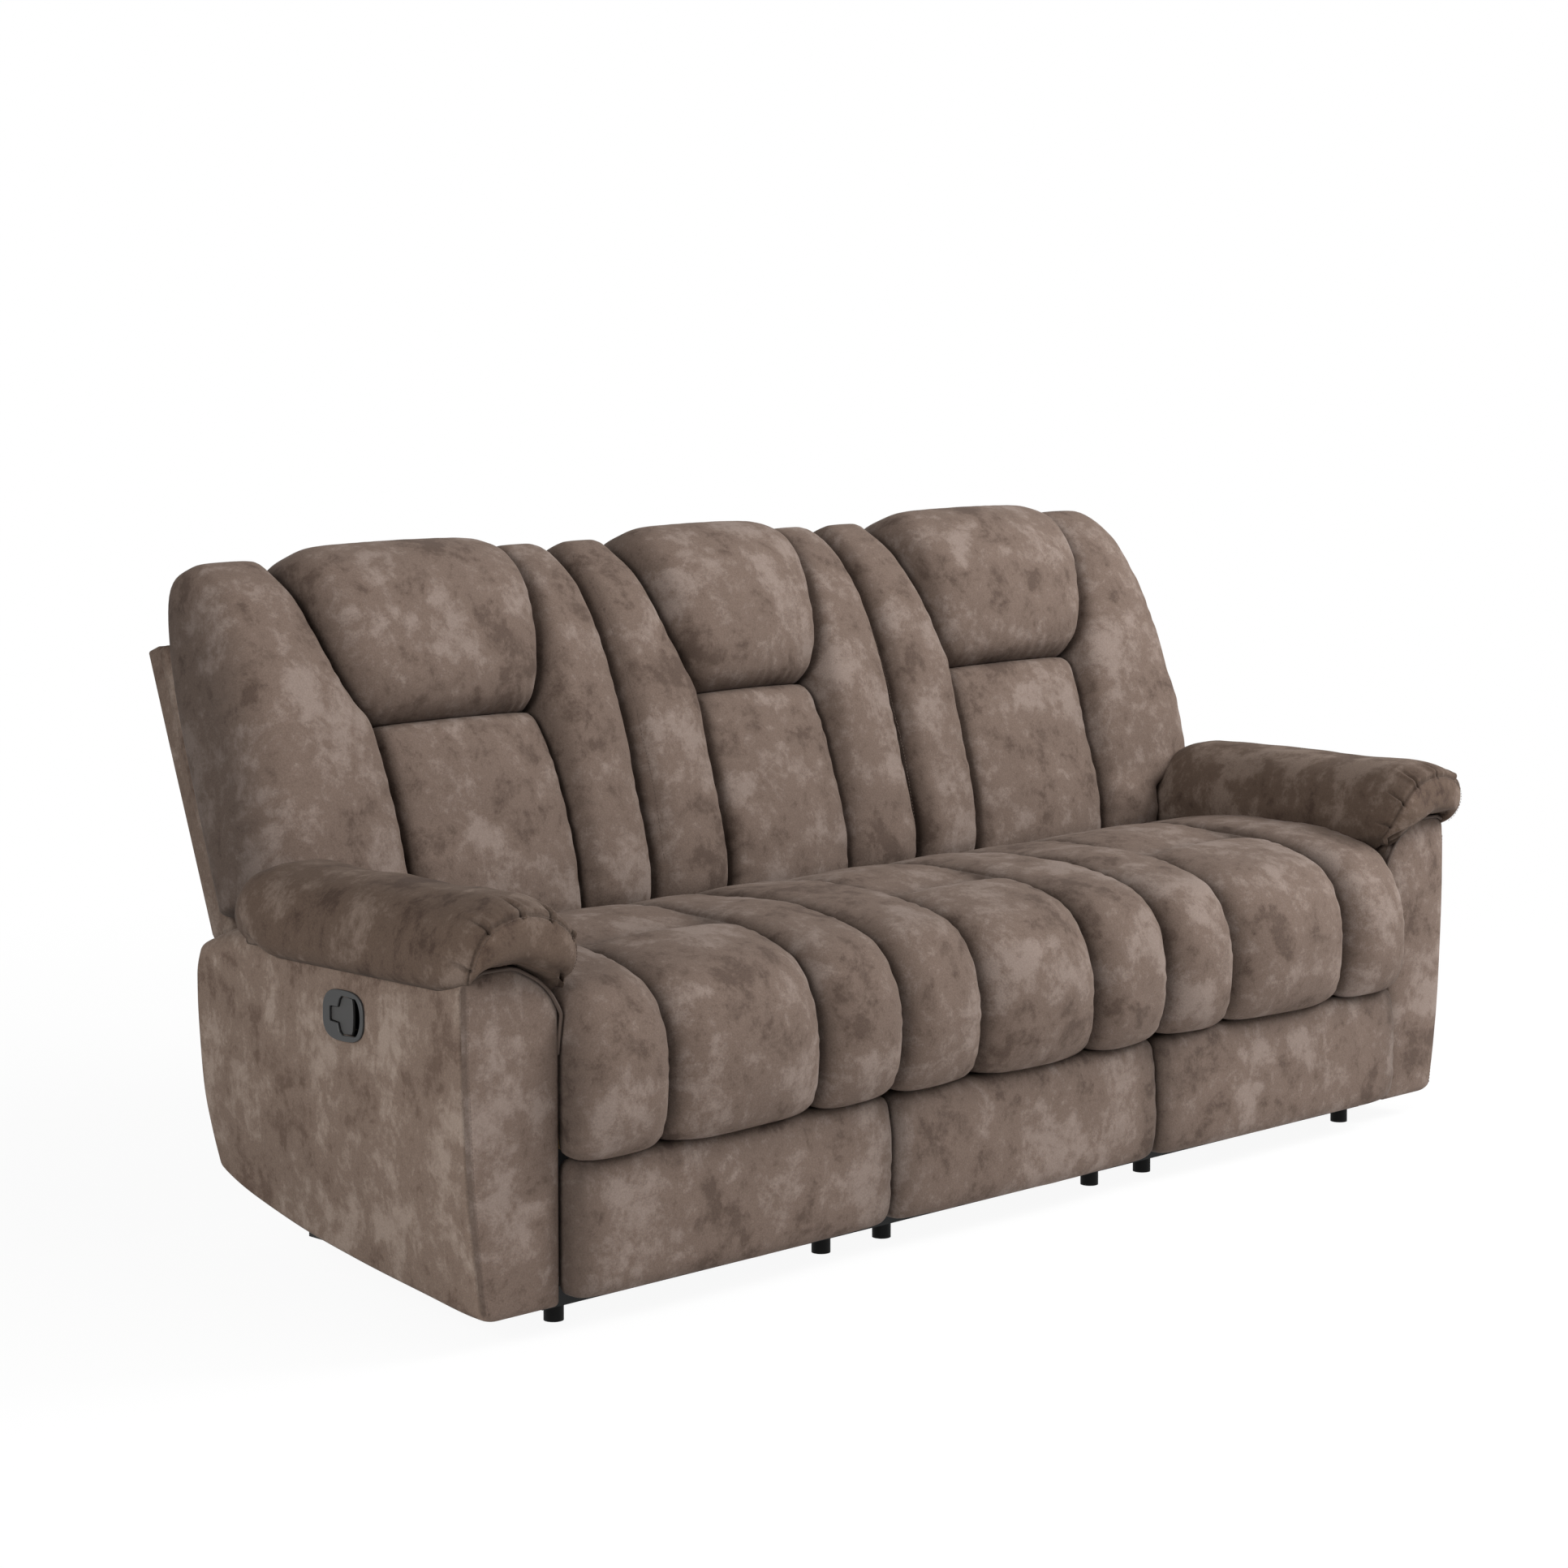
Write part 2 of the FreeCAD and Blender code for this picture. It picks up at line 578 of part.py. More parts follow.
def rear_cover_middle():
    half = MIDDLE_HALF - GAP
    corner = 42.0
    outline = ((-half, SHELL_LOW), (half, SHELL_LOW), (half, BACK_TOP - corner), (half - corner, BACK_TOP),
               (corner - half, BACK_TOP), (-half, BACK_TOP - corner))
    inner = half - SHELL_T
    top = BACK_TOP - SHELL_T
    pocket = ((-inner, SHELL_LOW - 1), (inner, SHELL_LOW - 1), (inner, top - corner), (inner - corner, top),
              (corner - inner, top), (-inner, top - corner))
    outer = upright_outline(SHELL_FRONT, SHELL_BACK, outline)
    return leaned(outer.cut(upright_outline(SHELL_FRONT - 1, SHELL_FRONT + FRAME_DEPTH, pocket)))


def back_frame(x0, high_out, post_in, post_out):
    """Timber back: two posts and three cross rails, the upper two as wide as the shell."""
    y0 = HINGE_Y + SHELL_FRONT
    y1 = HINGE_Y + SHELL_FRONT + FRAME_DEPTH - 1
    post_w = 25.0
    posts = [box(post_in, post_in + post_w, y0, y1, HINGE_Z - 15, HINGE_Z + 588),
             box(post_out - post_w, post_out, y0, y1, HINGE_Z - 15, HINGE_Z + 588)]
    rails = [box(post_in, post_out, y0, y1, HINGE_Z + 60, HINGE_Z + 110),
             box(x0, high_out, y0, y1, HINGE_Z + 300, HINGE_Z + 345),
             box(x0, high_out, y0, y1, HINGE_Z + 500, HINGE_Z + 545)]
    return leaned(posts[0].fuse(posts[1:] + rails).removeSplitter())


def mech_sides():
    """The inner and the outer mechanism of an end seat: face of the plate and the way its layers stack."""
    return ((PLATE_IN, 1), (2 * MECH_CENTRE - PLATE_IN, -1))


def layer_span(face, way, number):
    """X range of steel layer `number`, where 0 is the plate itself."""
    near = face + way * number * LAYER
    far = near + way * PLATE_T
    return min(near, far), max(near, far)


def back_brackets():
    """Steel straps on the posts of the back, turning on the rear pins of the plates."""
    made = []
    for face, way in mech_sides():
        x0, x1 = layer_span(face, way, 1)
        strap = extruded_yz(x0, x1, (HINGE_Y - 16, HINGE_Z),
                            [((HINGE_Y, HINGE_Z - 16), (HINGE_Y + 16, HINGE_Z)),
                             (HINGE_Y + 50, HINGE_Z + 30), (HINGE_Y + 50, HINGE_Z + 150),
                             (HINGE_Y + 20, HINGE_Z + 150), (HINGE_Y + 16, HINGE_Z + 40),
                             (HINGE_Y - 16, HINGE_Z)])
        made.append(leaned(strap.cut(bar_x(x0 - 1, x1 + 1, HINGE_Y, HINGE_Z, PIN_R + 1 + PIN_CLEAR))))
    return Part.makeCompound(made)


# Mechanism: plates that slide on the base, drive links with their cross tube, rear links and footrest arms
def mechanism_plates():
    outline = ((62.0, 56.0), (522.0, 56.0), (540.0, 150.0), (578.0, 300.0), (578.0, 346.0), (542.0, 346.0),
               (508.0, 298.0), (62.0, 298.0))
    made = []
    for face, way in mech_sides():
        x0, x1 = layer_span(face, way, 0)
        plate = polygon_yz(x0, x1, outline)
        plate = plate.cut(bar_x(x0 - 1, x1 + 1, DRIVE_Y, DRIVE_Z, PIN_R + 1 + PIN_CLEAR))
        tip = face + way * (LAYER + PLATE_T + 1)
        hinge = bar_x(min(face, tip), max(face, tip), HINGE_Y, HINGE_Z, PIN_R + 1)
        tip = face + way * (3 * LAYER + PLATE_T)
        rear = bar_x(min(face, tip), max(face, tip), REAR_LINK_Y, REAR_LINK_Z, PIN_R)
        rollers = []
        for y in (160.0, 470.0):
            reach = face - way * 11.0
            rollers.append(bar_x(min(face, reach), max(face, reach), y, RAIL_TOP + 10.5, 10.0))
        made.append(plate.fuse([hinge, rear] + rollers).removeSplitter())
    return Part.makeCompound(made)


def link_between(x0, x1, a, b, width):
    """Flat link with round ends from pivot a to pivot b."""
    length = math.hypot(b[0] - a[0], b[1] - a[1])
    uy, uz = (b[0] - a[0]) / length, (b[1] - a[1]) / length
    r = width / 2

    def at(point, along, across):
        return point[0] + uy * along - uz * across, point[1] + uz * along + uy * across
    return extruded_yz(x0, x1, at(a, 0, r), [(at(a, -r, 0), at(a, 0, -r)), at(b, 0, -r),
                                             (at(b, r, 0), at(b, 0, r)), at(a, 0, r)])


DRIVE_PIVOT = (DRIVE_Y, DRIVE_Z)
FOOTREST_PIVOT = (FOOTREST_PIVOT_Y, FOOTREST_PIVOT_Z)


def drive_end(degrees):
    dy, dz = polar(DRIVE_LEN, degrees)
    return DRIVE_Y + dy, DRIVE_Z + dz


def arm_tail(end, turned):
    dy, dz = polar(REAR_LINK_OFFSET, REAR_LINK_OFFSET_ANGLE + turned)
    return end[0] + dy, end[1] + dz


# The rear link's pivot lies where the link fits the arm's tail both folded and open
ELBOW = drive_end(DRIVE_ANGLE)
TAIL = arm_tail(ELBOW, 0.0)
TAIL_OPEN = arm_tail(drive_end(DRIVE_OPEN), ARM_OPEN_TURN)
TAIL_MID = ((TAIL[0] + TAIL_OPEN[0]) / 2, (TAIL[1] + TAIL_OPEN[1]) / 2)
TAIL_SLOPE = (TAIL_OPEN[1] - TAIL[1]) / (TAIL_OPEN[0] - TAIL[0])
REAR_LINK_Y = TAIL_MID[0] - (REAR_LINK_Z - TAIL_MID[1]) * TAIL_SLOPE
REAR_PIVOT = (REAR_LINK_Y, REAR_LINK_Z)


def drive_links():
    made = []
    for face, way in mech_sides():
        x0, x1 = layer_span(face, way, 1)
        link = link_between(x0, x1, DRIVE_PIVOT, ELBOW, LINK_W)
        stub = bar_x(min(face, x0), max(face, x1), DRIVE_Y, DRIVE_Z, PIN_R + 1)
        tip = face + way * (2 * LAYER + PLATE_T + 1)
        pin = bar_x(min(x0, tip), max(x1, tip), ELBOW[0], ELBOW[1], PIN_R)
        made.append(link.fuse([stub, pin]).removeSplitter())
    return Part.makeCompound(made)


def drive_tube():
    reach = LAYER + PLATE_T
    outer = bar_x(PLATE_IN + reach, 2 * MECH_CENTRE - PLATE_IN - reach, DRIVE_Y, DRIVE_Z, TUBE_R)
    inner = bar_x(PLATE_IN + reach, 2 * MECH_CENTRE - PLATE_IN - reach, DRIVE_Y, DRIVE_Z, TUBE_R - 2)
    return outer.cut(inner)


def rear_links():
    made = []
    for face, way in mech_sides():
        x0, x1 = layer_span(face, way, 3)
        link = link_between(x0, x1, REAR_PIVOT, TAIL, LINK_W)
        link = link.cut(bar_x(x0 - 1, x1 + 1, REAR_PIVOT[0], REAR_PIVOT[1], PIN_R + PIN_CLEAR))
        tip = face + way * (2 * LAYER - 1)
        pin = bar_x(min(x0, tip), max(x1, tip), TAIL[0], TAIL[1], PIN_R)
        made.append(link.fuse(pin).removeSplitter())
    return Part.makeCompound(made)


KNEE_LEN = 137.0
KNEE_TURN = 16.0
TAIL_HOLE_R = 8.5


def footrest_arms():
    """Cranked arms from tail to footrest pivot. The hole in the tail clears the pin of the rear link."""
    dy = FOOTREST_PIVOT_Y - ELBOW[0]
    dz = FOOTREST_PIVOT_Z - ELBOW[1]
    ky, kz = polar(KNEE_LEN, math.degrees(math.atan2(dz, dy)) + KNEE_TURN)
    knee = (ELBOW[0] + ky, ELBOW[1] + kz)
    made = []
    for face, way in mech_sides():
        x0, x1 = layer_span(face, way, 2)
        arm = link_between(x0, x1, TAIL, ELBOW, LINK_W + 6)
        arm = arm.fuse([link_between(x0, x1, ELBOW, knee, LINK_W),
                        link_between(x0, x1, knee, FOOTREST_PIVOT, LINK_W)]).removeSplitter()
        arm = arm.cut(bar_x(x0 - 1, x1 + 1, TAIL[0], TAIL[1], TAIL_HOLE_R))
        arm = arm.cut(bar_x(x0 - 1, x1 + 1, ELBOW[0], ELBOW[1], PIN_R + PIN_CLEAR))
        made.append(arm.cut(bar_x(x0 - 1, x1 + 1, FOOTREST_PIVOT_Y, FOOTREST_PIVOT_Z, PIN_R + PIN_CLEAR)))
    return Part.makeCompound(made)


# Footrest: board, brackets and padded panel
def panel_board(x0, x1):
    inset = 14.0
    y0 = PANEL_BOARD_Y
    return box(x0 + inset, x1 - inset, y0, y0 + PANEL_BOARD_T, PANEL_LOW + inset, PANEL_TOP - inset)


def footrest_brackets():
    made = []
    y0 = PANEL_BOARD_Y + PANEL_BOARD_T
    for face, way in mech_sides():
        x0, x1 = layer_span(face, way, 3)
        y, z = FOOTREST_PIVOT
        outline = [(y, z - 11), ((y + 11, z), (y, z + 11)), (y0, z + 26), (y0, z - 26)]
        ear = extruded_yz(x0, x1, (y0, z - 26), outline)
        foot = box(min(x0, x0 + way * 24), max(x1, x1 + way * 24), y0, y0 + 3, z - 26, z + 26)
        tip = face + way * (2 * LAYER - 1)
        pin = bar_x(min(x0, tip), max(x1, tip), y, z, PIN_R)
        made.append(ear.fuse([foot, pin]).removeSplitter())
    return Part.makeCompound(made)


# Inset, depth and corner radius of each section of a front panel, from its board to its crown
PANEL_FORM = ((10.0, PANEL_BOARD_Y, 14.0), (1.0, -18.0, 26.0), (3.0, -32.0, 30.0), (16.0, -42.0, 30.0),
              (44.0, PANEL_FRONT, 30.0))


def rounded_panel_section(x0, x1, z0, z1, y, r):
    def place(x, z):
        return Vector(x, y, z)
    s = r * (1 - math.sqrt(0.5))
    steps = [(x1 - r, z0), ((x1 - s, z0 + s), (x1, z0 + r)), (x1, z1 - r), ((x1 - s, z1 - s), (x1 - r, z1)),
             (x0 + r, z1), ((x0 + s, z1 - s), (x0, z1 - r)), (x0, z0 + r), ((x0 + s, z0 + s), (x0 + r, z0))]
    return wire(place, (x0 + r, z0), steps)


def front_panel(x0, x1):
    rows = []
    for inset, y, r in PANEL_FORM:
        rows.append(rounded_panel_section(x0 + inset, x1 - inset, PANEL_LOW + inset, PANEL_TOP - inset, y, r))
    return loft(rows)


def middle_front_panel():
    """Padded front panel of the fixed middle seat, on a board that two cleats hold to the front legs."""
    x1 = MIDDLE_HALF - GAP
    pad = front_panel(-x1, x1)
    board = panel_board(-x1, x1)
    cleats = [box(side * SIDE_RAIL_X[0] - 12, side * SIDE_RAIL_X[0] + 12, PANEL_BOARD_Y + PANEL_BOARD_T, 90,
                  120, 160) for side in (-1, 1)]
    return pad.fuse([board] + cleats)


def export(name, shape):
    moved = shape.copy()
    moved.translate(Vector(0, -FRONT_TO_ORIGIN, 0))
    moved.exportStep("parts/" + name + ".step")
    print(name, "solids", len(moved.Solids), "valid", moved.isValid(), "litres", round(moved.Volume / 1e6, 3))


def main():
    os.makedirs("parts", exist_ok=True)
    export("base_front_rail", base_rail(FRONT_RAIL_Y, FRONT_RAIL_HALF))
    export("base_rear_rail", base_rail(REAR_RAIL_Y, REAR_RAIL_HALF))
    export("base_side_rails", base_side_rails())
    export("feet", feet())
    export("arm_brackets", arm_brackets())

    spring_half = MIDDLE_HALF - 60
    export("middle_seat_frame", middle_seat_frame())
    export("middle_seat_springs", seat_springs(-spring_half, spring_half))
    export("middle_seat_cushion", seat_cushion(GAP - MIDDLE_HALF, MIDDLE_HALF - GAP, CHANNEL_MIDDLE))
    export("middle_front_panel", middle_front_panel())
    back_half = MIDDLE_HALF - GAP - SHELL_T - 1
    export("middle_back_frame", back_frame(-back_half, back_half, -247, 247))
    export("middle_rear_cover", rear_cover_middle())
    export("middle_lumbar_pad", lumbar_pad(MIDDLE_EDGES))
    export("middle_head_pillow", head_pillow(MIDDLE_EDGES))
    bolster = inner_bolster(MIDDLE_EDGES, MIDDLE_HALF - GAP)
    export("middle_back_bolsters", Part.makeCompound([bolster, mirrored(bolster)]))

    seat_in = MIDDLE_HALF + GAP
    seat_out = SEAT_OUT - GAP
    side_out = 2 * MECH_CENTRE - PLATE_IN + SIDE_T
    frame_out = SEAT_OUT - GAP - 5
    ends = {
        "arm_frame": arm_frame(),
        "arm_cover": arm_cover(),
        "arm_pad": arm_pad(),
        "handle_bezel": handle_bezel(),
        "handle_lever": handle_lever(),
        "release_cable": release_cable(),
        "seat_frame": Part.makeCompound(seat_frame(seat_in + 9, frame_out, PLATE_IN - SIDE_T, side_out, PLATE_T)),
        "seat_springs": seat_springs(PLATE_IN + 25, 2 * MECH_CENTRE - PLATE_IN - 25),
        "seat_cushion": seat_cushion(seat_in, seat_out, CHANNEL_END_SEAT),
        "mechanism_plates": mechanism_plates(),
        "back_brackets": back_brackets(),
        "back_frame": back_frame(seat_in + SHELL_T + 1, SHELL_OUT - SHELL_T - 1,
                                 PLATE_IN + LAYER + PLATE_T, 2 * MECH_CENTRE - PLATE_IN - LAYER - PLATE_T),
        "rear_cover": rear_cover_end(),
        "lumbar_pad": lumbar_pad(END_EDGES),
        "head_pillow": head_pillow(END_EDGES),
        "back_bolsters": Part.makeCompound([inner_bolster(END_EDGES, seat_in)] + outer_bolster()),
        "drive_links": drive_links(),
        "drive_tube": drive_tube(),
        "rear_links": rear_links(),
        "footrest_arms": footrest_arms(),
        "footrest_brackets": footrest_brackets(),
        "footrest_board": panel_board(seat_in, seat_out),
        "footrest_pad": front_panel(seat_in, seat_out),
    }
    for name, shape in ends.items():
        export("right_" + name, shape)
        export("left_" + name, mirrored(shape))


main()
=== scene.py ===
# %% [markdown]
# # A reclining sofa in distressed faux suede
# The sofa has three seats between two padded arms. The end seats recline. Everything soft is built here
# as closed cushion forms, and the steel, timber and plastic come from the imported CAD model.

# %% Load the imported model
import math
import bmesh
import bpy
import numpy as np
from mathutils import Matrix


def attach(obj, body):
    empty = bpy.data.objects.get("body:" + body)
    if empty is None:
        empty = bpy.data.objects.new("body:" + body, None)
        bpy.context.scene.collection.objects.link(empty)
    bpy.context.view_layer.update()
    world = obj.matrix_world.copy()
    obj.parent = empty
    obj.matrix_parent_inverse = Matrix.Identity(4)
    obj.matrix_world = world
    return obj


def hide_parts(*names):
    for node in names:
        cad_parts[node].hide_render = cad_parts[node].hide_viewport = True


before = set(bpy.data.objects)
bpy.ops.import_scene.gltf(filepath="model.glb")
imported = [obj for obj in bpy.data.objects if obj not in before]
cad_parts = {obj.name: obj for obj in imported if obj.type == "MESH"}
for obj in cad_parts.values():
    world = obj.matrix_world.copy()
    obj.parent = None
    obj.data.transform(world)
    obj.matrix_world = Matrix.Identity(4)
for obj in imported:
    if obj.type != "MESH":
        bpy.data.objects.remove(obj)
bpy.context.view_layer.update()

# %% [markdown]
# ## Units and places
# Upholsterers think in millimetres from the front of the arms, so the shapes below do too. `placed` turns
# such points into Blender's metres about the middle of the footprint. The backs are shaped upright and
# then leaned about the recline hinge, as the real ones are.

# %% Places
FRONT_TO_ORIGIN = 373.1
# The recline hinge, as distance from the front of the arms and height, and the lean of the backs at rest
HINGE = (560.0, 330.0)
LEAN = math.radians(21.0)
# From the middle of the sofa: half a middle seat, an end seat's outer side and an arm's inner face
SEAT_HALF = 298.0
SEAT_OUT = 917.0
ARM_INNER = 918.0
# What each soft piece keeps clear of its neighbour
CLEAR = 1.5


def placed(points):
    """Millimetres from the front of the arms to metres in Blender."""
    return (np.asarray(points, float) - (0.0, FRONT_TO_ORIGIN, 0.0)) * 0.001


def leaned(x, forward, height):
    """A point of a back: forward of the hinge line and above it, turned to the lean at rest."""
    y = HINGE[0] - forward * math.cos(LEAN) + height * math.sin(LEAN)
    z = HINGE[1] + forward * math.sin(LEAN) + height * math.cos(LEAN)
    return np.stack(np.broadcast_arrays(x, y, z), -1)


# %% [markdown]
# ## Camera
# The photograph looks down on the sofa a little from its left front, from far away with a long lens. The
# frame was cropped below the lens axis, which the small downward shift repeats.

# %% Camera
lens = bpy.data.cameras.new("Camera")
lens.sensor_width = 36.0
lens.lens = 86.14
lens.shift_y = -0.1894
lens.clip_end = 100.0
camera = bpy.data.objects.new("Camera", lens)
camera.location = placed((-4195.2, -3769.9, 1396.4))
camera.rotation_euler = (math.radians(90.0 - 2.9485), 0.0, math.radians(-44.529))
bpy.context.scene.collection.objects.link(camera)
bpy.context.scene.camera = camera
print("camera stands at", [round(v, 3) for v in camera.location])

# %% [markdown]
# ## Studio
# A white floor fades into a white world, so the picture's ground stays white while the sofa keeps a soft
# shadow. One soft box stands at the left, a stronger one higher up at the right front and a weak one
# overhead. The world fills the rest.

# %% Colours and nodes
def linear(code):
    """An sRGB hex colour as linear RGBA."""
    parts = [int(code[i:i + 2], 16) / 255.0 for i in (1, 3, 5)]
    return tuple(c / 12.92 if c <= 0.04045 else ((c + 0.055) / 1.055) ** 2.4 for c in parts) + (1.0,)


def add_node(tree, kind, settings=None, links=None):
    """Adds a node, sets its properties and input values, and links inputs to other nodes' outputs."""
    node = tree.nodes.new(kind)
    for name, value in (settings or {}).items():
        if isinstance(name, str) and hasattr(node, name):
            setattr(node, name, value)
        else:
            node.inputs[name].default_value = value
    for name, source in (links or {}).items():
        tree.links.new(source, node.inputs[name])
    return node


def new_material(name):
    """An empty material and its node tree."""
    material = bpy.data.materials.new(name)
    material.use_nodes = True
    material.node_tree.nodes.clear()
    return material, material.node_tree


def set_ramp(node, stops):
    """Colour stops of a Color Ramp as (position, RGBA)."""
    ramp = node.color_ramp
    while len(ramp.elements) > len(stops):
        ramp.elements.remove(ramp.elements[-1])
    while len(ramp.elements) < len(stops):
        ramp.elements.new(0.5)
    for element, (position, colour) in zip(ramp.elements, stops):
        element.position = position
        element.color = colour


# %% Floor, world and lamps
# The floor turns to pure white between these distances, in metres, and glows a little less near the sofa
FADE_START = 1.2
FADE_END = 3.2
NEAR_GLOW = 0.93
FLOOR_HALF = 30.0
WORLD_STRENGTH = 0.28


def camera_like_ray(tree):
    """1 for rays from the camera, mirrors and glass, else 0."""
    path = add_node(tree, "ShaderNodeLightPath")
    first = add_node(tree, "ShaderNodeMath", {"operation": "MAXIMUM"},
                     {0: path.outputs["Is Camera Ray"], 1: path.outputs["Is Glossy Ray"]})
    return add_node(tree, "ShaderNodeMath", {"operation": "MAXIMUM"},
                    {0: first.outputs[0], 1: path.outputs["Is Transmission Ray"]}).outputs[0]


floor_material, tree = new_material("Studio_floor_white_paint")
coords = add_node(tree, "ShaderNodeTexCoord")
radius = add_node(tree, "ShaderNodeVectorMath", {"operation": "LENGTH"}, {0: coords.outputs["Object"]})
fade = add_node(tree, "ShaderNodeMapRange",
                {"interpolation_type": "SMOOTHSTEP", "From Min": FADE_START, "From Max": FADE_END,
                 "To Min": NEAR_GLOW, "To Max": 1.0}, {"Value": radius.outputs["Value"]})
shown = add_node(tree, "ShaderNodeMath", {"operation": "MULTIPLY"},
                 {0: fade.outputs[0], 1: camera_like_ray(tree)})
paint = add_node(tree, "ShaderNodeBsdfDiffuse", {"Color": linear("#f4f4f4")})
glow = add_node(tree, "ShaderNodeEmission", {"Color": (1, 1, 1, 1), "Strength": 1.0})
mix = add_node(tree, "ShaderNodeMixShader", {},
               {0: shown.outputs[0], 1: paint.outputs[0], 2: glow.outputs[0]})
add_node(tree, "ShaderNodeOutputMaterial", {}, {"Surface": mix.outputs[0]})

floor_mesh = bpy.data.meshes.new("Studio_floor")
floor_corners = [(FLOOR_HALF * x, FLOOR_HALF * y, 0.0) for x, y in ((-1, -1), (1, -1), (1, 1), (-1, 1))]
floor_mesh.from_pydata(floor_corners, [], [(0, 1, 2, 3)])
floor_mesh.materials.append(floor_material)
floor = bpy.data.objects.new("Studio_floor", floor_mesh)
bpy.context.scene.collection.objects.link(floor)

world = bpy.data.worlds.new("Studio_world")
world.use_nodes = True
tree = world.node_tree
tree.nodes.clear()
shown = camera_like_ray(tree)
fill = add_node(tree, "ShaderNodeBackground", {"Color": linear("#ffffff"), "Strength": WORLD_STRENGTH})
white = add_node(tree, "ShaderNodeBackground", {"Color": (1, 1, 1, 1), "Strength": 1.0})
mix = add_node(tree, "ShaderNodeMixShader", {}, {0: shown, 1: fill.outputs[0], 2: white.outputs[0]})
add_node(tree, "ShaderNodeOutputWorld", {}, {"Surface": mix.outputs[0]})
bpy.context.scene.world = world
bpy.context.scene.view_settings.view_transform = "Standard"


def add_lamp(name, place, target, size, watts):
    """A square soft box that looks at a target, both in metres."""
    light = bpy.data.lights.new(name, "AREA")
    light.shape = "SQUARE"
    light.size = size
    light.energy = watts
    lamp = bpy.data.objects.new(name, light)
    lamp.location = place
    direction = np.subtract(target, place)
    turn = math.atan2(direction[1], direction[0]) - math.pi / 2
    tilt = math.atan2(math.hypot(direction[0], direction[1]), -direction[2])
    lamp.rotation_euler = (tilt, 0.0, turn)
    bpy.context.scene.collection.objects.link(lamp)


add_lamp("Key_softbox", (-4.9, -1.7, 2.0), (-0.4, 0.0, 0.5), 2.0, 160.0)
add_lamp("Fill_softbox", (3.9, -2.4, 3.0), (0.8, 0.1, 0.6), 2.0, 292.0)
add_lamp("Top_softbox", (0.2, -1.6, 3.2), (0.0, 0.0, 0.5), 2.6, 44.0)
print("studio lit by", len(bpy.data.lights), "soft boxes")

# %% [markdown]
# ## Faux suede
# The cover is distressed faux suede: a brushed polyester knit with a short nap, printed and crushed so
# that cloudy light patches lie on a dark brown ground. Real suede cloth scatters light back at grazing
# angles, which the sheen layer gives, and its nap is far finer than a pixel, so the bump is drawn about 2
# mm wide. Near seams, in folds and on faces turned from the light the colour is darkened as painted
# shade, which each piece stores as an attribute of its own.

# %% Faux suede material
# Noise scales count per metre, because Object coordinates are in metres
PER_METRE = 1000.0
TUFTS = 420.0
STREAKS = 95.0
# Blots are this much finer than the clouds they break up, and count this much beside them
BLOT_FINENESS = 3.1
BLOT_SHARE = 0.55
# Share of the colour left where the painted shade in a crease is deepest
DARKEST_CREASE_SHADE = 0.5


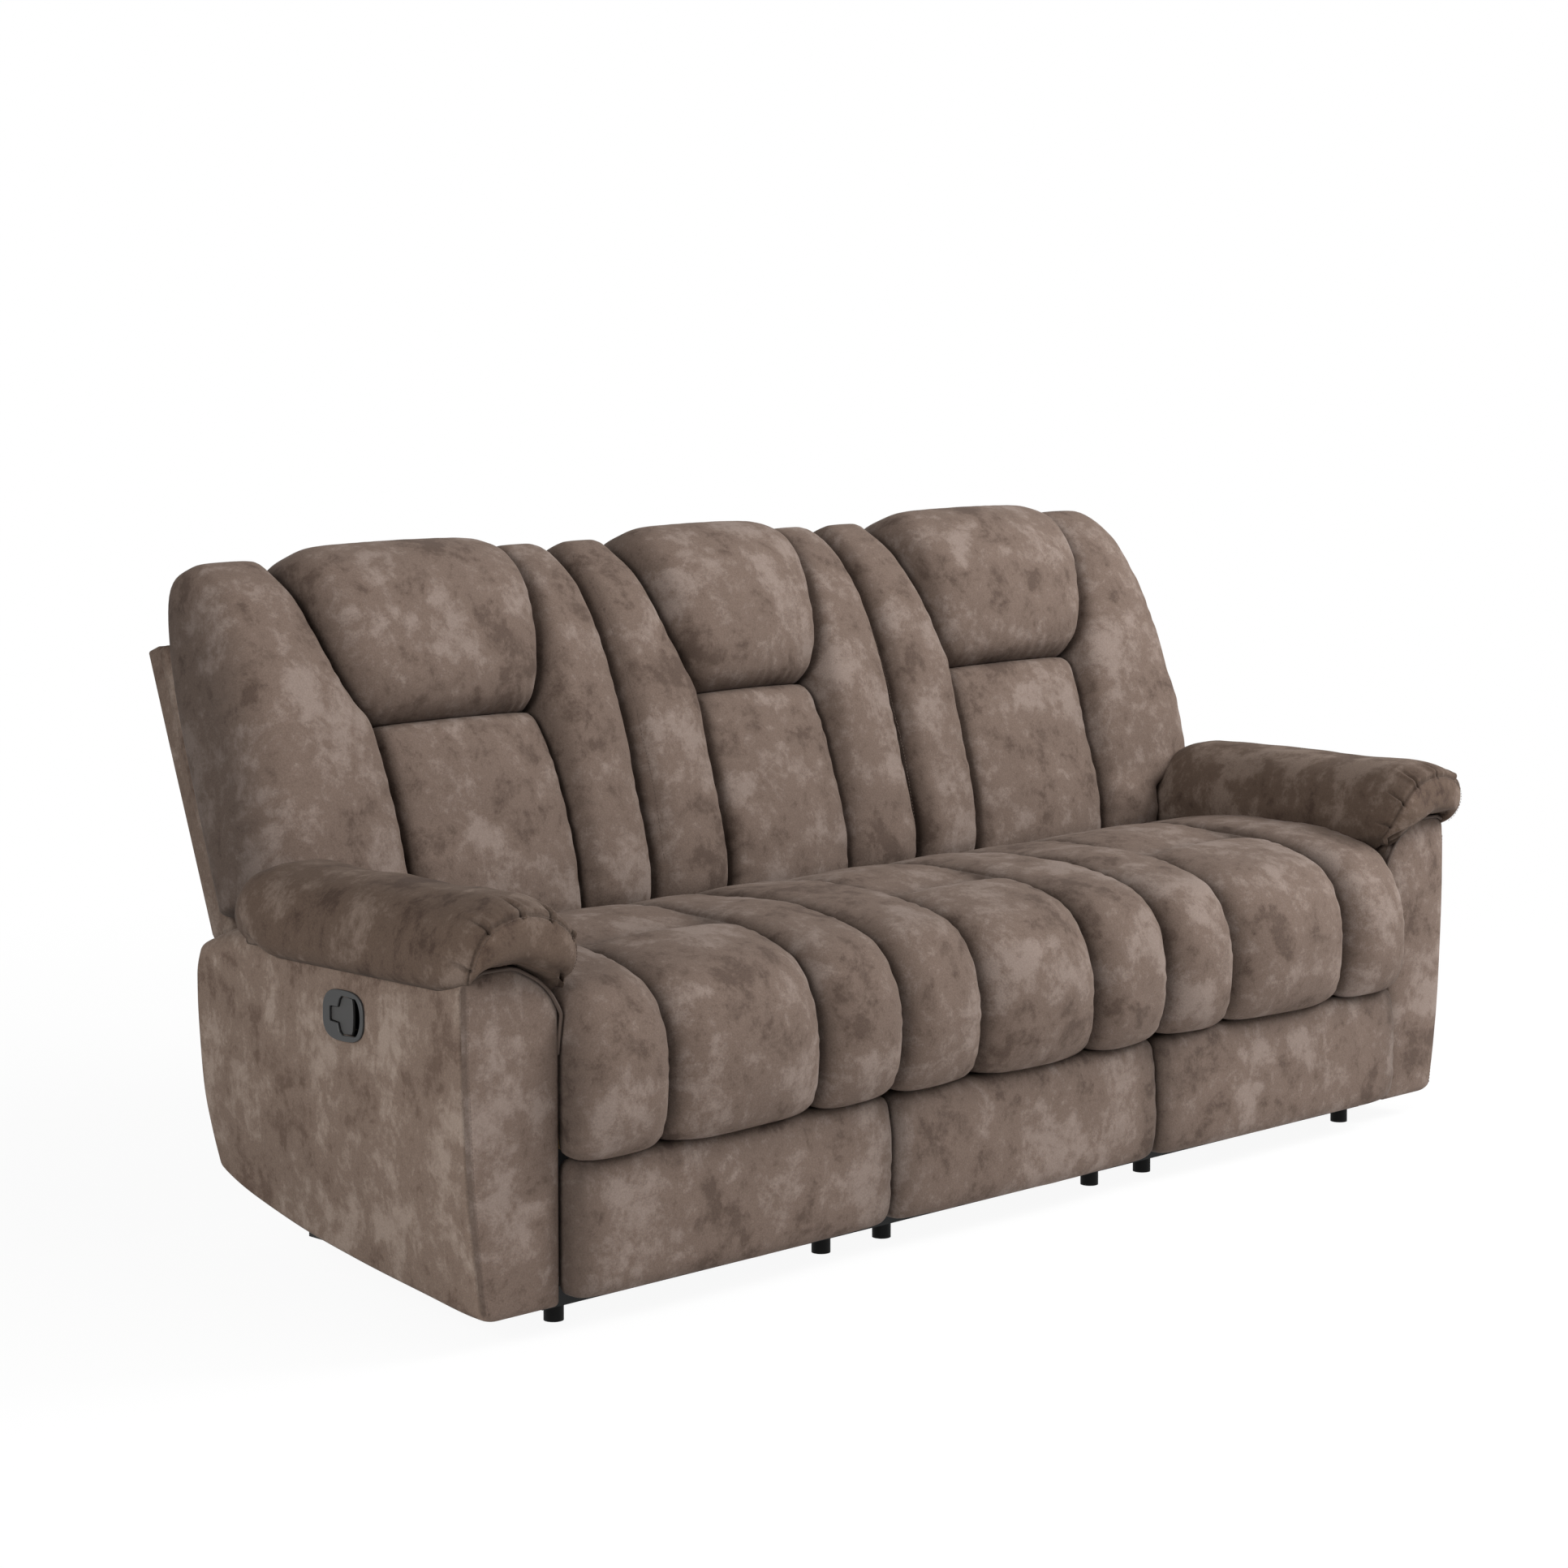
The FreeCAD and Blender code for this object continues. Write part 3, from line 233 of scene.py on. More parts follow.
def suede_material(name, dark, middle, light, patch_mm, stretch, streak=0.0, grain=0.3):
    """Distressed faux suede. patch_mm is the width of the clouds, and stretch draws them out along Z.
    streak adds fine lines of brushed nap along Z, and grain is how much single tufts differ in tone."""
    material, tree = new_material(name)
    coords = add_node(tree, "ShaderNodeTexCoord").outputs["Object"]
    place = add_node(tree, "ShaderNodeMapping", {"Scale": (1.0, 1.0, 1.0 / stretch)},
                     {"Vector": coords}).outputs[0]
    clouds = add_node(tree, "ShaderNodeTexNoise",
                      {"Scale": PER_METRE / patch_mm, "Detail": 10.0, "Roughness": 0.66, "Distortion": 0.2},
                      {"Vector": place}).outputs["Fac"]
    blots = add_node(tree, "ShaderNodeTexNoise",
                     {"Scale": BLOT_FINENESS * PER_METRE / patch_mm, "Detail": 9.0, "Roughness": 0.74,
                      "Distortion": 0.35}, {"Vector": place}).outputs["Fac"]
    both = add_node(tree, "ShaderNodeMath", {"operation": "MULTIPLY_ADD", 1: BLOT_SHARE},
                    {0: blots, 2: clouds})
    brushed = add_node(tree, "ShaderNodeMapping", {"Scale": (1.0, 1.0, 0.16)},
                       {"Vector": coords}).outputs[0]
    lines = add_node(tree, "ShaderNodeTexNoise", {"Scale": STREAKS, "Detail": 4.0, "Roughness": 0.7},
                     {"Vector": brushed}).outputs["Fac"]
    lined = add_node(tree, "ShaderNodeMath", {"operation": "MULTIPLY_ADD", 1: streak},
                     {0: lines, 2: both.outputs[0]})
    level = add_node(tree, "ShaderNodeMath", {"operation": "SUBTRACT", 1: 0.5 * streak},
                     {0: lined.outputs[0]})
    ramp = add_node(tree, "ShaderNodeValToRGB", {}, {"Fac": level.outputs[0]})
    tones = ((0.63, dark), (0.73, middle), (0.78, middle), (0.90, light))
    set_ramp(ramp, [(position, linear(code)) for position, code in tones])
    nap = add_node(tree, "ShaderNodeTexNoise", {"Scale": TUFTS, "Detail": 3.0, "Roughness": 0.65},
                   {"Vector": coords}).outputs["Fac"]
    tone = add_node(tree, "ShaderNodeMapRange",
                    {"From Min": 0.3, "From Max": 0.7, "To Min": 1.0 - grain / 2,
                     "To Max": 1.0 + grain / 2}, {"Value": nap}).outputs[0]
    toned = add_node(tree, "ShaderNodeVectorMath", {"operation": "SCALE"},
                     {0: ramp.outputs["Color"], "Scale": tone}).outputs[0]
    # Painted shade: the shade stored on each piece darkens the colour at seams, folds and faces turned away
    crease_shade = add_node(tree, "ShaderNodeAttribute", {"attribute_name": "crease_shade"}).outputs["Fac"]
    depth = add_node(tree, "ShaderNodeMapRange", {"To Min": 1.0, "To Max": DARKEST_CREASE_SHADE},
                     {"Value": crease_shade}).outputs[0]
    toned = add_node(tree, "ShaderNodeVectorMath", {"operation": "SCALE"},
                     {0: toned, "Scale": depth}).outputs[0]
    bump = add_node(tree, "ShaderNodeBump", {"Strength": 0.25, "Distance": 0.0012},
                    {"Height": nap}).outputs[0]
    cloth = add_node(tree, "ShaderNodeBsdfPrincipled",
                     {"Roughness": 0.9, "IOR": 1.45, "Specular IOR Level": 0.2, "Sheen Weight": 0.03,
                      "Sheen Roughness": 0.4, "Sheen Tint": linear("#cbbdb2")},
                     {"Base Color": toned, "Normal": bump})
    add_node(tree, "ShaderNodeOutputMaterial", {}, {"Surface": cloth.outputs[0]})
    return material


SUEDE = suede_material("Faux_suede_crushed", "#50423a", "#65564d", "#7a6c64", 112.0, 1.0)
# A darker copy of the suede for the arm rolls: their nap lies down, and the rest is painted shade
SUEDE_NAP_DOWN_AND_SHADE = suede_material("Faux_suede_crushed_nap_down_and_painted_shade", "#40322a", "#54453b", "#6d5e54", 112.0, 1.2)
SUEDE_PANEL = suede_material("Faux_suede_crushed_panel", "#54453c", "#67584e", "#7d6f65", 92.0, 1.25, 0.12)
print("suede for the cushions, the arm pads and the flat panels")

# %% [markdown]
# ## Other finishes
# The release handle is moulded ABS with a fine grain. The base and mechanism are powder-coated steel, the
# springs are bare tempered wire, and the frames are sawn softwood and plywood.

# %% Plastic, steel, timber and thread
def plain_material(name, colour, roughness, metallic=0.0, grain_mm=1.0, bump_mm=0.05, vary=0.08, gloss=0.5):
    """One colour with a fine, slightly uneven surface of the given grain size. vary is how far its tone
    drifts, and gloss its mirror level."""
    material, tree = new_material(name)
    coords = add_node(tree, "ShaderNodeTexCoord").outputs["Object"]
    grain = add_node(tree, "ShaderNodeTexNoise", {"Scale": PER_METRE / grain_mm, "Detail": 3.0},
                     {"Vector": coords}).outputs["Fac"]
    broad = add_node(tree, "ShaderNodeTexNoise", {"Scale": 14.0, "Detail": 4.0},
                     {"Vector": coords}).outputs["Fac"]
    tone = add_node(tree, "ShaderNodeMapRange", {"To Min": 1.0 - vary, "To Max": 1.0 + vary},
                    {"Value": broad}).outputs[0]
    toned = add_node(tree, "ShaderNodeVectorMath", {"operation": "SCALE", 0: linear(colour)[:3]},
                     {"Scale": tone}).outputs[0]
    rough = add_node(tree, "ShaderNodeMapRange", {"To Min": roughness - 0.06, "To Max": roughness + 0.06},
                     {"Value": broad}).outputs[0]
    bump = add_node(tree, "ShaderNodeBump", {"Strength": 0.5, "Distance": bump_mm * 0.001},
                    {"Height": grain}).outputs[0]
    shader = add_node(tree, "ShaderNodeBsdfPrincipled", {"Metallic": metallic, "Specular IOR Level": gloss},
                      {"Base Color": toned, "Roughness": rough, "Normal": bump})
    add_node(tree, "ShaderNodeOutputMaterial", {}, {"Surface": shader.outputs[0]})
    return material


def timber_material(name, pale, dark):
    """Sawn softwood: growth rings drawn out along the longest runs of the frames, which lie along X."""
    material, tree = new_material(name)
    coords = add_node(tree, "ShaderNodeTexCoord").outputs["Object"]
    place = add_node(tree, "ShaderNodeMapping", {"Scale": (1.2, 22.0, 22.0)}, {"Vector": coords}).outputs[0]
    rings = add_node(tree, "ShaderNodeTexNoise", {"Scale": 2.2, "Detail": 5.0, "Distortion": 1.4},
                     {"Vector": place}).outputs["Fac"]
    ramp = add_node(tree, "ShaderNodeValToRGB", {}, {"Fac": rings})
    set_ramp(ramp, ((0.35, linear(dark)), (0.5, linear(pale)), (0.62, linear(pale)), (0.7, linear(dark))))
    bump = add_node(tree, "ShaderNodeBump", {"Strength": 0.3, "Distance": 0.0006},
                    {"Height": rings}).outputs[0]
    shader = add_node(tree, "ShaderNodeBsdfPrincipled", {"Roughness": 0.72},
                      {"Base Color": ramp.outputs["Color"], "Normal": bump})
    add_node(tree, "ShaderNodeOutputMaterial", {}, {"Surface": shader.outputs[0]})
    return material


ABS = plain_material("ABS_moulded_dark_grey", "#232323", 0.5, grain_mm=0.8, bump_mm=0.04)
ABS_LEVER = plain_material("ABS_moulded_lever", "#262524", 0.5, grain_mm=0.8, bump_mm=0.04)
# The cup behind the handle's frame is moulded ABS; its near-black is painted shade in the recess
RECESS_SHADE = plain_material("ABS_moulded_recess_painted_shade", "#070707", 0.6, grain_mm=0.8, bump_mm=0.04)
POWDER = plain_material("Steel_powder_coated_black", "#0b0b0b", 0.5, grain_mm=0.7, bump_mm=0.05, gloss=0.25)
WIRE = plain_material("Spring_steel_wire", "#6b6a68", 0.35, metallic=1.0, grain_mm=0.5, bump_mm=0.02)
FOOT = plain_material("Polypropylene_foot_black", "#050505", 0.6, grain_mm=1.0, bump_mm=0.05, gloss=0.15)
SHEATH = plain_material("PVC_cable_sheath_black", "#1a1a1a", 0.55, grain_mm=1.0, bump_mm=0.03)
THREAD = plain_material("Polyester_thread_brown", "#4a3b32", 0.8, grain_mm=0.4, bump_mm=0.05)
PIPING = plain_material("Faux_suede_piping_dark", "#41342c", 0.9, grain_mm=1.6, bump_mm=0.3)
# Black sheets under the seats and in the gaps between them: partly a real dust cloth, partly painted shade
DUST_CLOTH_AND_SHADE = plain_material("Polypropylene_dust_cloth_and_painted_shade", "#1c1b1b", 0.95, grain_mm=1.4, bump_mm=0.2)
TIMBER = timber_material("Pine_sawn", "#c7a473", "#a67f4d")

FINISHES = {"rail": POWDER, "rails": POWDER, "brackets": POWDER, "plates": POWDER, "links": POWDER,
            "tube": POWDER, "arms": POWDER, "springs": WIRE, "feet": FOOT, "cable": SHEATH, "frame": TIMBER,
            "board": TIMBER}
for node_name, node_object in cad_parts.items():
    finish = FINISHES.get(node_name.split("_")[-1])
    if finish and node_object.material_slots:
        node_object.material_slots[0].material = finish
    elif finish:
        print("no material slot on", node_name)

# %% [markdown]
# ## Forms for cushions
# Every cushion starts as the surface of a cube, cut into a fine even grid. A rule then moves each point
# of the cube to its place: first it rounds the cube as a stuffed cover rounds, then it stretches it to
# the cushion's outline. A cube's grid has no poles, so the cloth shades evenly everywhere. A form below
# is a pair of points and faces, with how much painted shade darkens each point as a third part where the
# piece is of suede.

# %% Cube grid
def cube_surface(a_values, b_values, c_values):
    """Points (a, b, c) on the surface of a cube cut at the given values, and its four-sided faces."""
    sizes = [len(v) for v in (a_values, b_values, c_values)]
    lattice = np.stack(np.meshgrid(*[np.arange(n) for n in sizes], indexing="ij"), -1).reshape(-1, 3)
    limits = np.array(sizes) - 1
    outside = ((lattice == 0) | (lattice == limits)).any(axis=1)
    number = np.full(len(lattice), -1)
    number[outside] = np.arange(outside.sum())
    number = number.reshape(sizes)
    kept = lattice[outside]
    points = np.stack([np.asarray(a_values)[kept[:, 0]], np.asarray(b_values)[kept[:, 1]],
                       np.asarray(c_values)[kept[:, 2]]], -1)
    faces = []
    for axis in range(3):
        for end in (0, -1):
            sheet = np.take(number, end, axis=axis)
            corners = [sheet[:-1, :-1], sheet[1:, :-1], sheet[1:, 1:], sheet[:-1, 1:]]
            quads = np.stack(corners, -1).reshape(-1, 4)
            flip = (end == -1) == (axis == 1)
            faces.append(quads[:, ::-1] if flip else quads)
    return points, np.concatenate(faces)


def spread(count, crowd=0.0):
    """Values from -1 to 1. A crowd of 1 packs them towards both ends as a cosine does."""
    even = np.linspace(-1.0, 1.0, count)
    return (1.0 - crowd) * even + crowd * np.sin(even * math.pi / 2)


# Steps of the search for the rounded surface
HALVINGS = 26


def rounded(cube, powers):
    """Pulls the points of a cube in until |a|^p + |b|^q + |c|^r = 1, which rounds its edges. The last two
    powers are r at the low end and r at the high end."""
    side, face, bottom, top = powers
    upright = np.where(cube[:, 2] < 0, bottom, top)
    low = np.zeros(len(cube))
    high = np.ones(len(cube))
    for step in range(HALVINGS):
        middle = (low + high) / 2
        total = sum(np.abs(cube[:, i] * middle) ** power for i, power in enumerate((side, face, upright)))
        low = np.where(total < 1.0, middle, low)
        high = np.where(total < 1.0, high, middle)
    return cube * high[:, None]


def banded(half, radius, count, turns=6):
    """Values from -1 to 1: even over the flat part of a box side, then spaced for its round edges."""
    tail = half - radius + radius * np.tan(np.linspace(0, math.pi / 4, turns + 1)[1:])
    core = np.linspace(radius - half, half - radius, count)
    return np.concatenate([-tail[::-1], core, tail]) / half


def rounded_box(cube, half, radius):
    """The points of a cube as fractions of a box of those half sizes, its edges rounded to the radius."""
    half = np.asarray(half, float)
    spot = cube * half
    core = np.clip(spot, radius - half, half - radius)
    out = spot - core
    length = np.maximum(np.linalg.norm(out, axis=1, keepdims=True), 1e-9)
    return (core + out / length * radius) / half


def box_grid(half, radius, counts, turns=6):
    """A rounded box as fractions from -1 to 1 of its half sizes, and its faces."""
    values = [banded(h, radius, n, turns) for h, n in zip(half, counts)]
    cube, faces = cube_surface(*values)
    return rounded_box(cube, half, radius), faces


# %% Curves and ripples
def running_length(path):
    """Distance along a line of points from its first point to each."""
    return np.concatenate([[0.0], np.cumsum(np.hypot(*np.diff(path, axis=0).T))])


def curve(knots, values):
    """A smooth curve through the values at the knots, without overshoot."""
    x = np.asarray(knots, float)
    y = np.asarray(values, float)
    step = np.diff(x)
    slope = np.diff(y) / step
    tangent = np.zeros(len(x))
    tangent[0] = slope[0]
    tangent[-1] = slope[-1]
    same = slope[:-1] * slope[1:] > 0
    weight_a = 2 * step[1:] + step[:-1]
    weight_b = step[1:] + 2 * step[:-1]
    with np.errstate(divide="ignore", invalid="ignore"):
        mean = (weight_a + weight_b) / (weight_a / slope[:-1] + weight_b / slope[1:])
    tangent[1:-1] = np.where(same, mean, 0.0)

    def at(t):
        t = np.clip(t, x[0], x[-1])
        i = np.clip(np.searchsorted(x, t) - 1, 0, len(x) - 2)
        u = (t - x[i]) / step[i]
        return ((1 + 2 * u) * (1 - u) ** 2 * y[i] + u * (1 - u) ** 2 * step[i] * tangent[i]
                + u * u * (3 - 2 * u) * y[i + 1] + u * u * (u - 1) * step[i] * tangent[i + 1])
    return at


def ripples(points, wavelength, seed, count=14):
    """A smooth random field of about -1 to 1 over points in millimetres."""
    rng = np.random.default_rng(seed)
    total = np.zeros(len(points))
    for i in range(count):
        way = rng.normal(size=3)
        way *= 2 * math.pi / (np.linalg.norm(way) * wavelength * rng.uniform(0.75, 1.4))
        total += np.sin(points @ way + rng.uniform(0, 2 * math.pi))
    return total / math.sqrt(count)


def gathers(along, spacing, seed):
    """Irregular folds across a seam, as a function of the distance along it in millimetres."""
    rng = np.random.default_rng(seed)
    turns = along * 2 * math.pi / spacing
    drift = sum(np.sin(turns / k + rng.uniform(0, 6.28)) for k in (3.1, 4.7, 7.3))
    swell = sum(np.sin(turns / k + rng.uniform(0, 6.28)) for k in (2.3, 5.9)) / 2
    fold = np.sin(turns + 0.9 * drift)
    return fold * (0.55 + 0.45 * swell)


# %% Mesh objects
def add_piece(name, form, materials, flip=False, pick=None):
    """A closed piece from a form in millimetres, with its faces turned outwards and smooth shading. flip
    mirrors it to the left side, and pick gives the number of its material for each face."""
    points = np.array(form[0], float)
    if flip:
        points[:, 0] = -points[:, 0]
    mesh = bpy.data.meshes.new(name)
    mesh.from_pydata(placed(points).tolist(), [], [tuple(int(i) for i in face) for face in form[1]])
    for material in (materials if isinstance(materials, tuple) else (materials,)):
        mesh.materials.append(material)
    mesh.polygons.foreach_set("use_smooth", np.ones(len(mesh.polygons), bool))
    # The third part of a form, where it has one, is painted shade, stored on the points
    if len(form) > 2:
        stored = mesh.attributes.new("crease_shade", "FLOAT", "POINT")
        stored.data.foreach_set("value", np.clip(form[2], 0, 1).astype(np.float32))
    if pick is not None:
        mesh.polygons.foreach_set("material_index", np.asarray(pick, np.int32))
    shape = bmesh.new()
    shape.from_mesh(mesh)
    bmesh.ops.recalc_face_normals(shape, faces=shape.faces[:])
    shape.to_mesh(mesh)
    shape.free()
    piece = bpy.data.objects.new(name, mesh)
    bpy.context.scene.collection.objects.link(piece)
    return piece


def moved(form, way):
    """The form with its points moved."""
    return (form[0] + np.asarray(way, float),) + tuple(form[1:])


def joined(forms):
    """Several forms of suede as one."""
    starts = np.cumsum([0] + [len(form[0]) for form in forms[:-1]])
    faces = [np.asarray(form[1]) + start for form, start in zip(forms, starts)]
    points = np.concatenate([form[0] for form in forms])
    crease_shades = np.concatenate([form[2] for form in forms])
    return points, np.concatenate(faces), crease_shades


def flatten(piece):
    """Flat shading, for crisp moulded parts."""
    piece.data.polygons.foreach_set("use_smooth", np.zeros(len(piece.data.polygons), bool))


def finish_piece(piece, body, nodes=()):
    """Puts a piece on its body and hides the CAD nodes it replaces."""
    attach(piece, body)
    if nodes:
        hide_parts(*nodes)


SIDES = (("left", True), ("right", False))


def add_pair(part, form, materials, body, node=None):
    """The piece at both ends of the sofa. Body and replaced node are named without their side."""
    for side, flip in SIDES:
        piece = add_piece(side + "_" + part, form, materials, flip)
        nodes = [side + "_" + node] if node else ()
        finish_piece(piece, body if body == "root" else side + "_" + body, nodes)


# %% [markdown]
# ## Seat cushions
# A seat cushion is one cover over foam and fibre. It is sewn into three channels that run from the back
# over the front edge and down to the footrest. Each channel bulges between its seams, and a cross seam at
# half depth gives the wide middle channel a puffed front. Gathers run out from every seam, because the
# cover is cut longer than the seam that holds it.

# %% Seat cushion outline
# Side view: distance from the front of the arms and height, from the top at the back round to the hem
CREST = ((436, 458), (420, 474), (380, 486), (320, 495), (260, 500), (200, 501), (140, 500), (80, 494),
         (30, 486), (-12, 474), (-44, 452), (-66, 424), (-82, 388), (-89, 348), (-87, 306), (-77, 268),
         (-58, 242), (-36, 232), (-16, 238), (-5, 256))
SEAM = ((436, 452), (420, 464), (380, 473), (320, 480), (260, 484), (200, 484), (140, 481), (90, 473),
        (50, 461), (20, 445), (-4, 420), (-18, 392), (-26, 360), (-29, 326), (-28, 294), (-24, 268),
        (-18, 250), (-12, 246), (-8, 250), (-5, 258))
UNDER = ((436, 308), (400, 307), (350, 307), (300, 307), (250, 307), (200, 307), (160, 307), (120, 307),
         (80, 307), (50, 307), (30, 307), (20, 307), (12, 307), (6, 306), (2, 304), (-1, 300),
         (-3, 294), (-4, 286), (-4, 276), (-4, 266))
# Place and depth of the cross seam
CROSS_SEAM = 168.0
PINCH_DEPTH = 23.0
# Cuts across each channel, and half the width of the wide channel of the middle and of the end seats
CHANNEL_STEPS = (26, 44, 26)
MIDDLE_CHANNEL = 128.0
END_CHANNEL = 147.0
# How far the cross seam draws the cover down in front of it and behind it
PINCH_FRONT = 26.0
PINCH_BEHIND = 60.0
# How far gathers reach from a seam, and how high and how far apart they lie
SEAM_REACH = 16.0
FOLD_HEIGHT = 3.4
FOLD_SPACING = 34.0


def side_paths():
    """The three outlines as smooth curves of one parameter from 0 at the back to 1 at the hem."""
    lengths = running_length(np.array(CREST, float))
    t = lengths / lengths[-1]
    curves = []
    for path in (CREST, SEAM, UNDER):
        y, z = np.array(path, float).T
        curves.append((curve(t, y), curve(t, z)))
    return curves, lengths[-1]


SIDE_CURVES, SIDE_LENGTH = side_paths()
print("seat cushion is", round(SIDE_LENGTH), "mm long over the front")


# %% Seat cushion
def seat_cushion(x0, x1, channel, seed):
    """Closed form between x0 and x1 with seams at the centre plus and minus channel."""
    centre = (x0 + x1) / 2
    bounds = (x0, centre - channel, centre + channel, x1)
    columns = []
    for low, high, count in zip(bounds, bounds[1:], CHANNEL_STEPS):
        columns += list((low + high) / 2 + (high - low) / 2 * spread(count, 0.75))[:-1]
    columns = np.array(columns + [x1])
    cube, faces = cube_surface(columns, np.linspace(0, 1, 6), np.linspace(0, 1, 190))
    x, b, t = cube.T
    which = np.clip(np.searchsorted(bounds, x, side="right") - 1, 0, 2)
    low = np.take(bounds, which)
    high = np.take(bounds, which + 1)
    across = np.clip((2 * x - low - high) / (high - low), -1, 1)
    half = (high - low) / 2
    from_seam = (1 - np.abs(across)) * half
    (crest_y, crest_z), (seam_y, seam_z), (under_y, under_z) = SIDE_CURVES
    swell = (1 - np.abs(across) ** 3.0) ** 0.48
    y_here = crest_y(t)
    middle = which == 1
    above = t < 0.7
    # The cross seam draws the middle channel down, steeply in front and gently behind
    past = y_here - CROSS_SEAM
    in_front = np.exp(-(past / PINCH_FRONT) ** 2 / 1.2) ** 0.5
    dip = np.where(past < 0, in_front, np.exp(-(past / PINCH_BEHIND) ** 2))
    pinch = np.where(middle & above, dip * (1 - np.abs(across) ** 6), 0.0)
    narrow = np.where(middle, 1.0, curve((0.0, 0.45, 0.6, 0.8, 1.0), (0.86, 0.9, 0.95, 0.9, 0.9))(t))
    swell = swell * narrow
    out_y = seam_y(t) + (crest_y(t) - seam_y(t)) * swell
    out_z = seam_z(t) + (crest_z(t) - seam_z(t)) * swell
    out_z = out_z - pinch * PINCH_DEPTH
    way_y = crest_y(t) - seam_y(t)
    way_z = crest_z(t) - seam_z(t)
    size = np.hypot(way_y, way_z) + 1e-6
    along = t * SIDE_LENGTH
    near_seam = np.exp(-from_seam / SEAM_REACH)
    folds = gathers(along + 6.0 * np.sign(across), FOLD_SPACING, seed + 1) * np.where(across > 0, 1.0, -0.8)
    lift = FOLD_HEIGHT * folds * near_seam * np.clip(from_seam / 6.0, 0, 1)
    cross_folds = gathers(x, 30.0, seed + 5)
    lift += np.where(middle & above, 2.8 * cross_folds * np.exp(-np.abs(past) / 22.0), 0.0)
    spot = np.stack([x, out_y, out_z], -1)
    lift += 1.6 * ripples(spot, 190.0, seed + 2) + 0.7 * ripples(spot, 70.0, seed + 3)
    lift *= np.clip(from_seam / 14.0, 0, 1) * np.clip(t / 0.04, 0, 1) * np.clip((1 - t) / 0.05, 0, 1)
    out_y = out_y + lift * way_y / size
    out_z = out_z + lift * way_z / size
    y = under_y(t) + (out_y - under_y(t)) * b
    z = under_z(t) + (out_z - under_z(t)) * b
    # Painted shade at the seams, cross seam, hem, rear end and top, and in the valleys of the gathers
    crease_shade = 0.85 * np.exp(-from_seam / 15.0)
    crease_shade += np.where(middle & above, 0.6 * np.exp(-np.abs(past) / 20.0), 0.0)
    crease_shade += 0.55 * np.exp(-(SIDE_LENGTH - along) / 40.0) + 0.5 * np.exp(-along / 60.0)
    crease_shade += 0.22 * curve((-60, 20, 460), (0, 1, 1))(y_here) * above - 0.12 * folds * near_seam
    return np.stack([x, y, z], -1), faces, crease_shade


# %% Make the seat cushions
MIDDLE_SPAN = (CLEAR - SEAT_HALF, SEAT_HALF - CLEAR)
END_SPAN = (SEAT_HALF + CLEAR, SEAT_OUT - CLEAR)
piece = add_piece("middle_cushion", seat_cushion(*MIDDLE_SPAN, MIDDLE_CHANNEL, 11), SUEDE)
finish_piece(piece, "root", ["middle_seat_cushion"])
end_cushion = seat_cushion(*END_SPAN, END_CHANNEL, 23)
add_pair("cushion", end_cushion, SUEDE, "seat", "seat_cushion")
print("seat cushions of", len(end_cushion[1]), "faces each")

# %% [markdown]
# ## Backs
# Each back has a crowned head pillow over a flatter lumbar pad, between two full-height bolsters. The
# outer bolster of an end seat widens above the arm into an ear. All are stuffed covers that press on each
# other, so their fronts roll into deep valleys at the seams.

# %% Back outlines
# Height above the hinge line, and the left and right edge of the centre pads there
END_EDGES = ((50, 441, 761), (160, 443, 763), (300, 447, 770), (390, 454, 779), (412, 455, 783),
             (440, 449, 800), (500, 438, 822), (600, 427, 841), (660, 424, 846), (700, 440, 834))
MIDDLE_EDGES = ((50, -132, 132), (160, -132, 132), (300, -132, 132), (390, -131, 131), (412, -131, 131),
                (440, -142, 142), (500, -157, 157), (600, -170, 170), (660, -176, 176),
                (700, -164, 164))
# Height above the hinge line, and how far each piece bulges forward of it
LUMBAR_CROWN = ((50, 122), (110, 152), (200, 170), (300, 173), (370, 168), (412, 160))
PILLOW_CROWN = ((404, 160), (430, 184), (480, 203), (540, 208), (600, 204), (650, 190), (700, 164))
BOLSTER_CROWN = ((50, 120), (110, 154), (200, 172), (300, 182), (412, 187), (500, 184), (600, 170),
                 (690, 136))
EAR_CROWN = ((50, 120), (110, 154), (200, 174), (300, 186), (412, 190), (500, 187), (600, 172),
             (690, 136))


def edges(table):
    """Smooth curves for the left and the right edge of the centre pads."""
    heights, left, right = np.array(table, float).T
    return curve(heights, left), curve(heights, right)


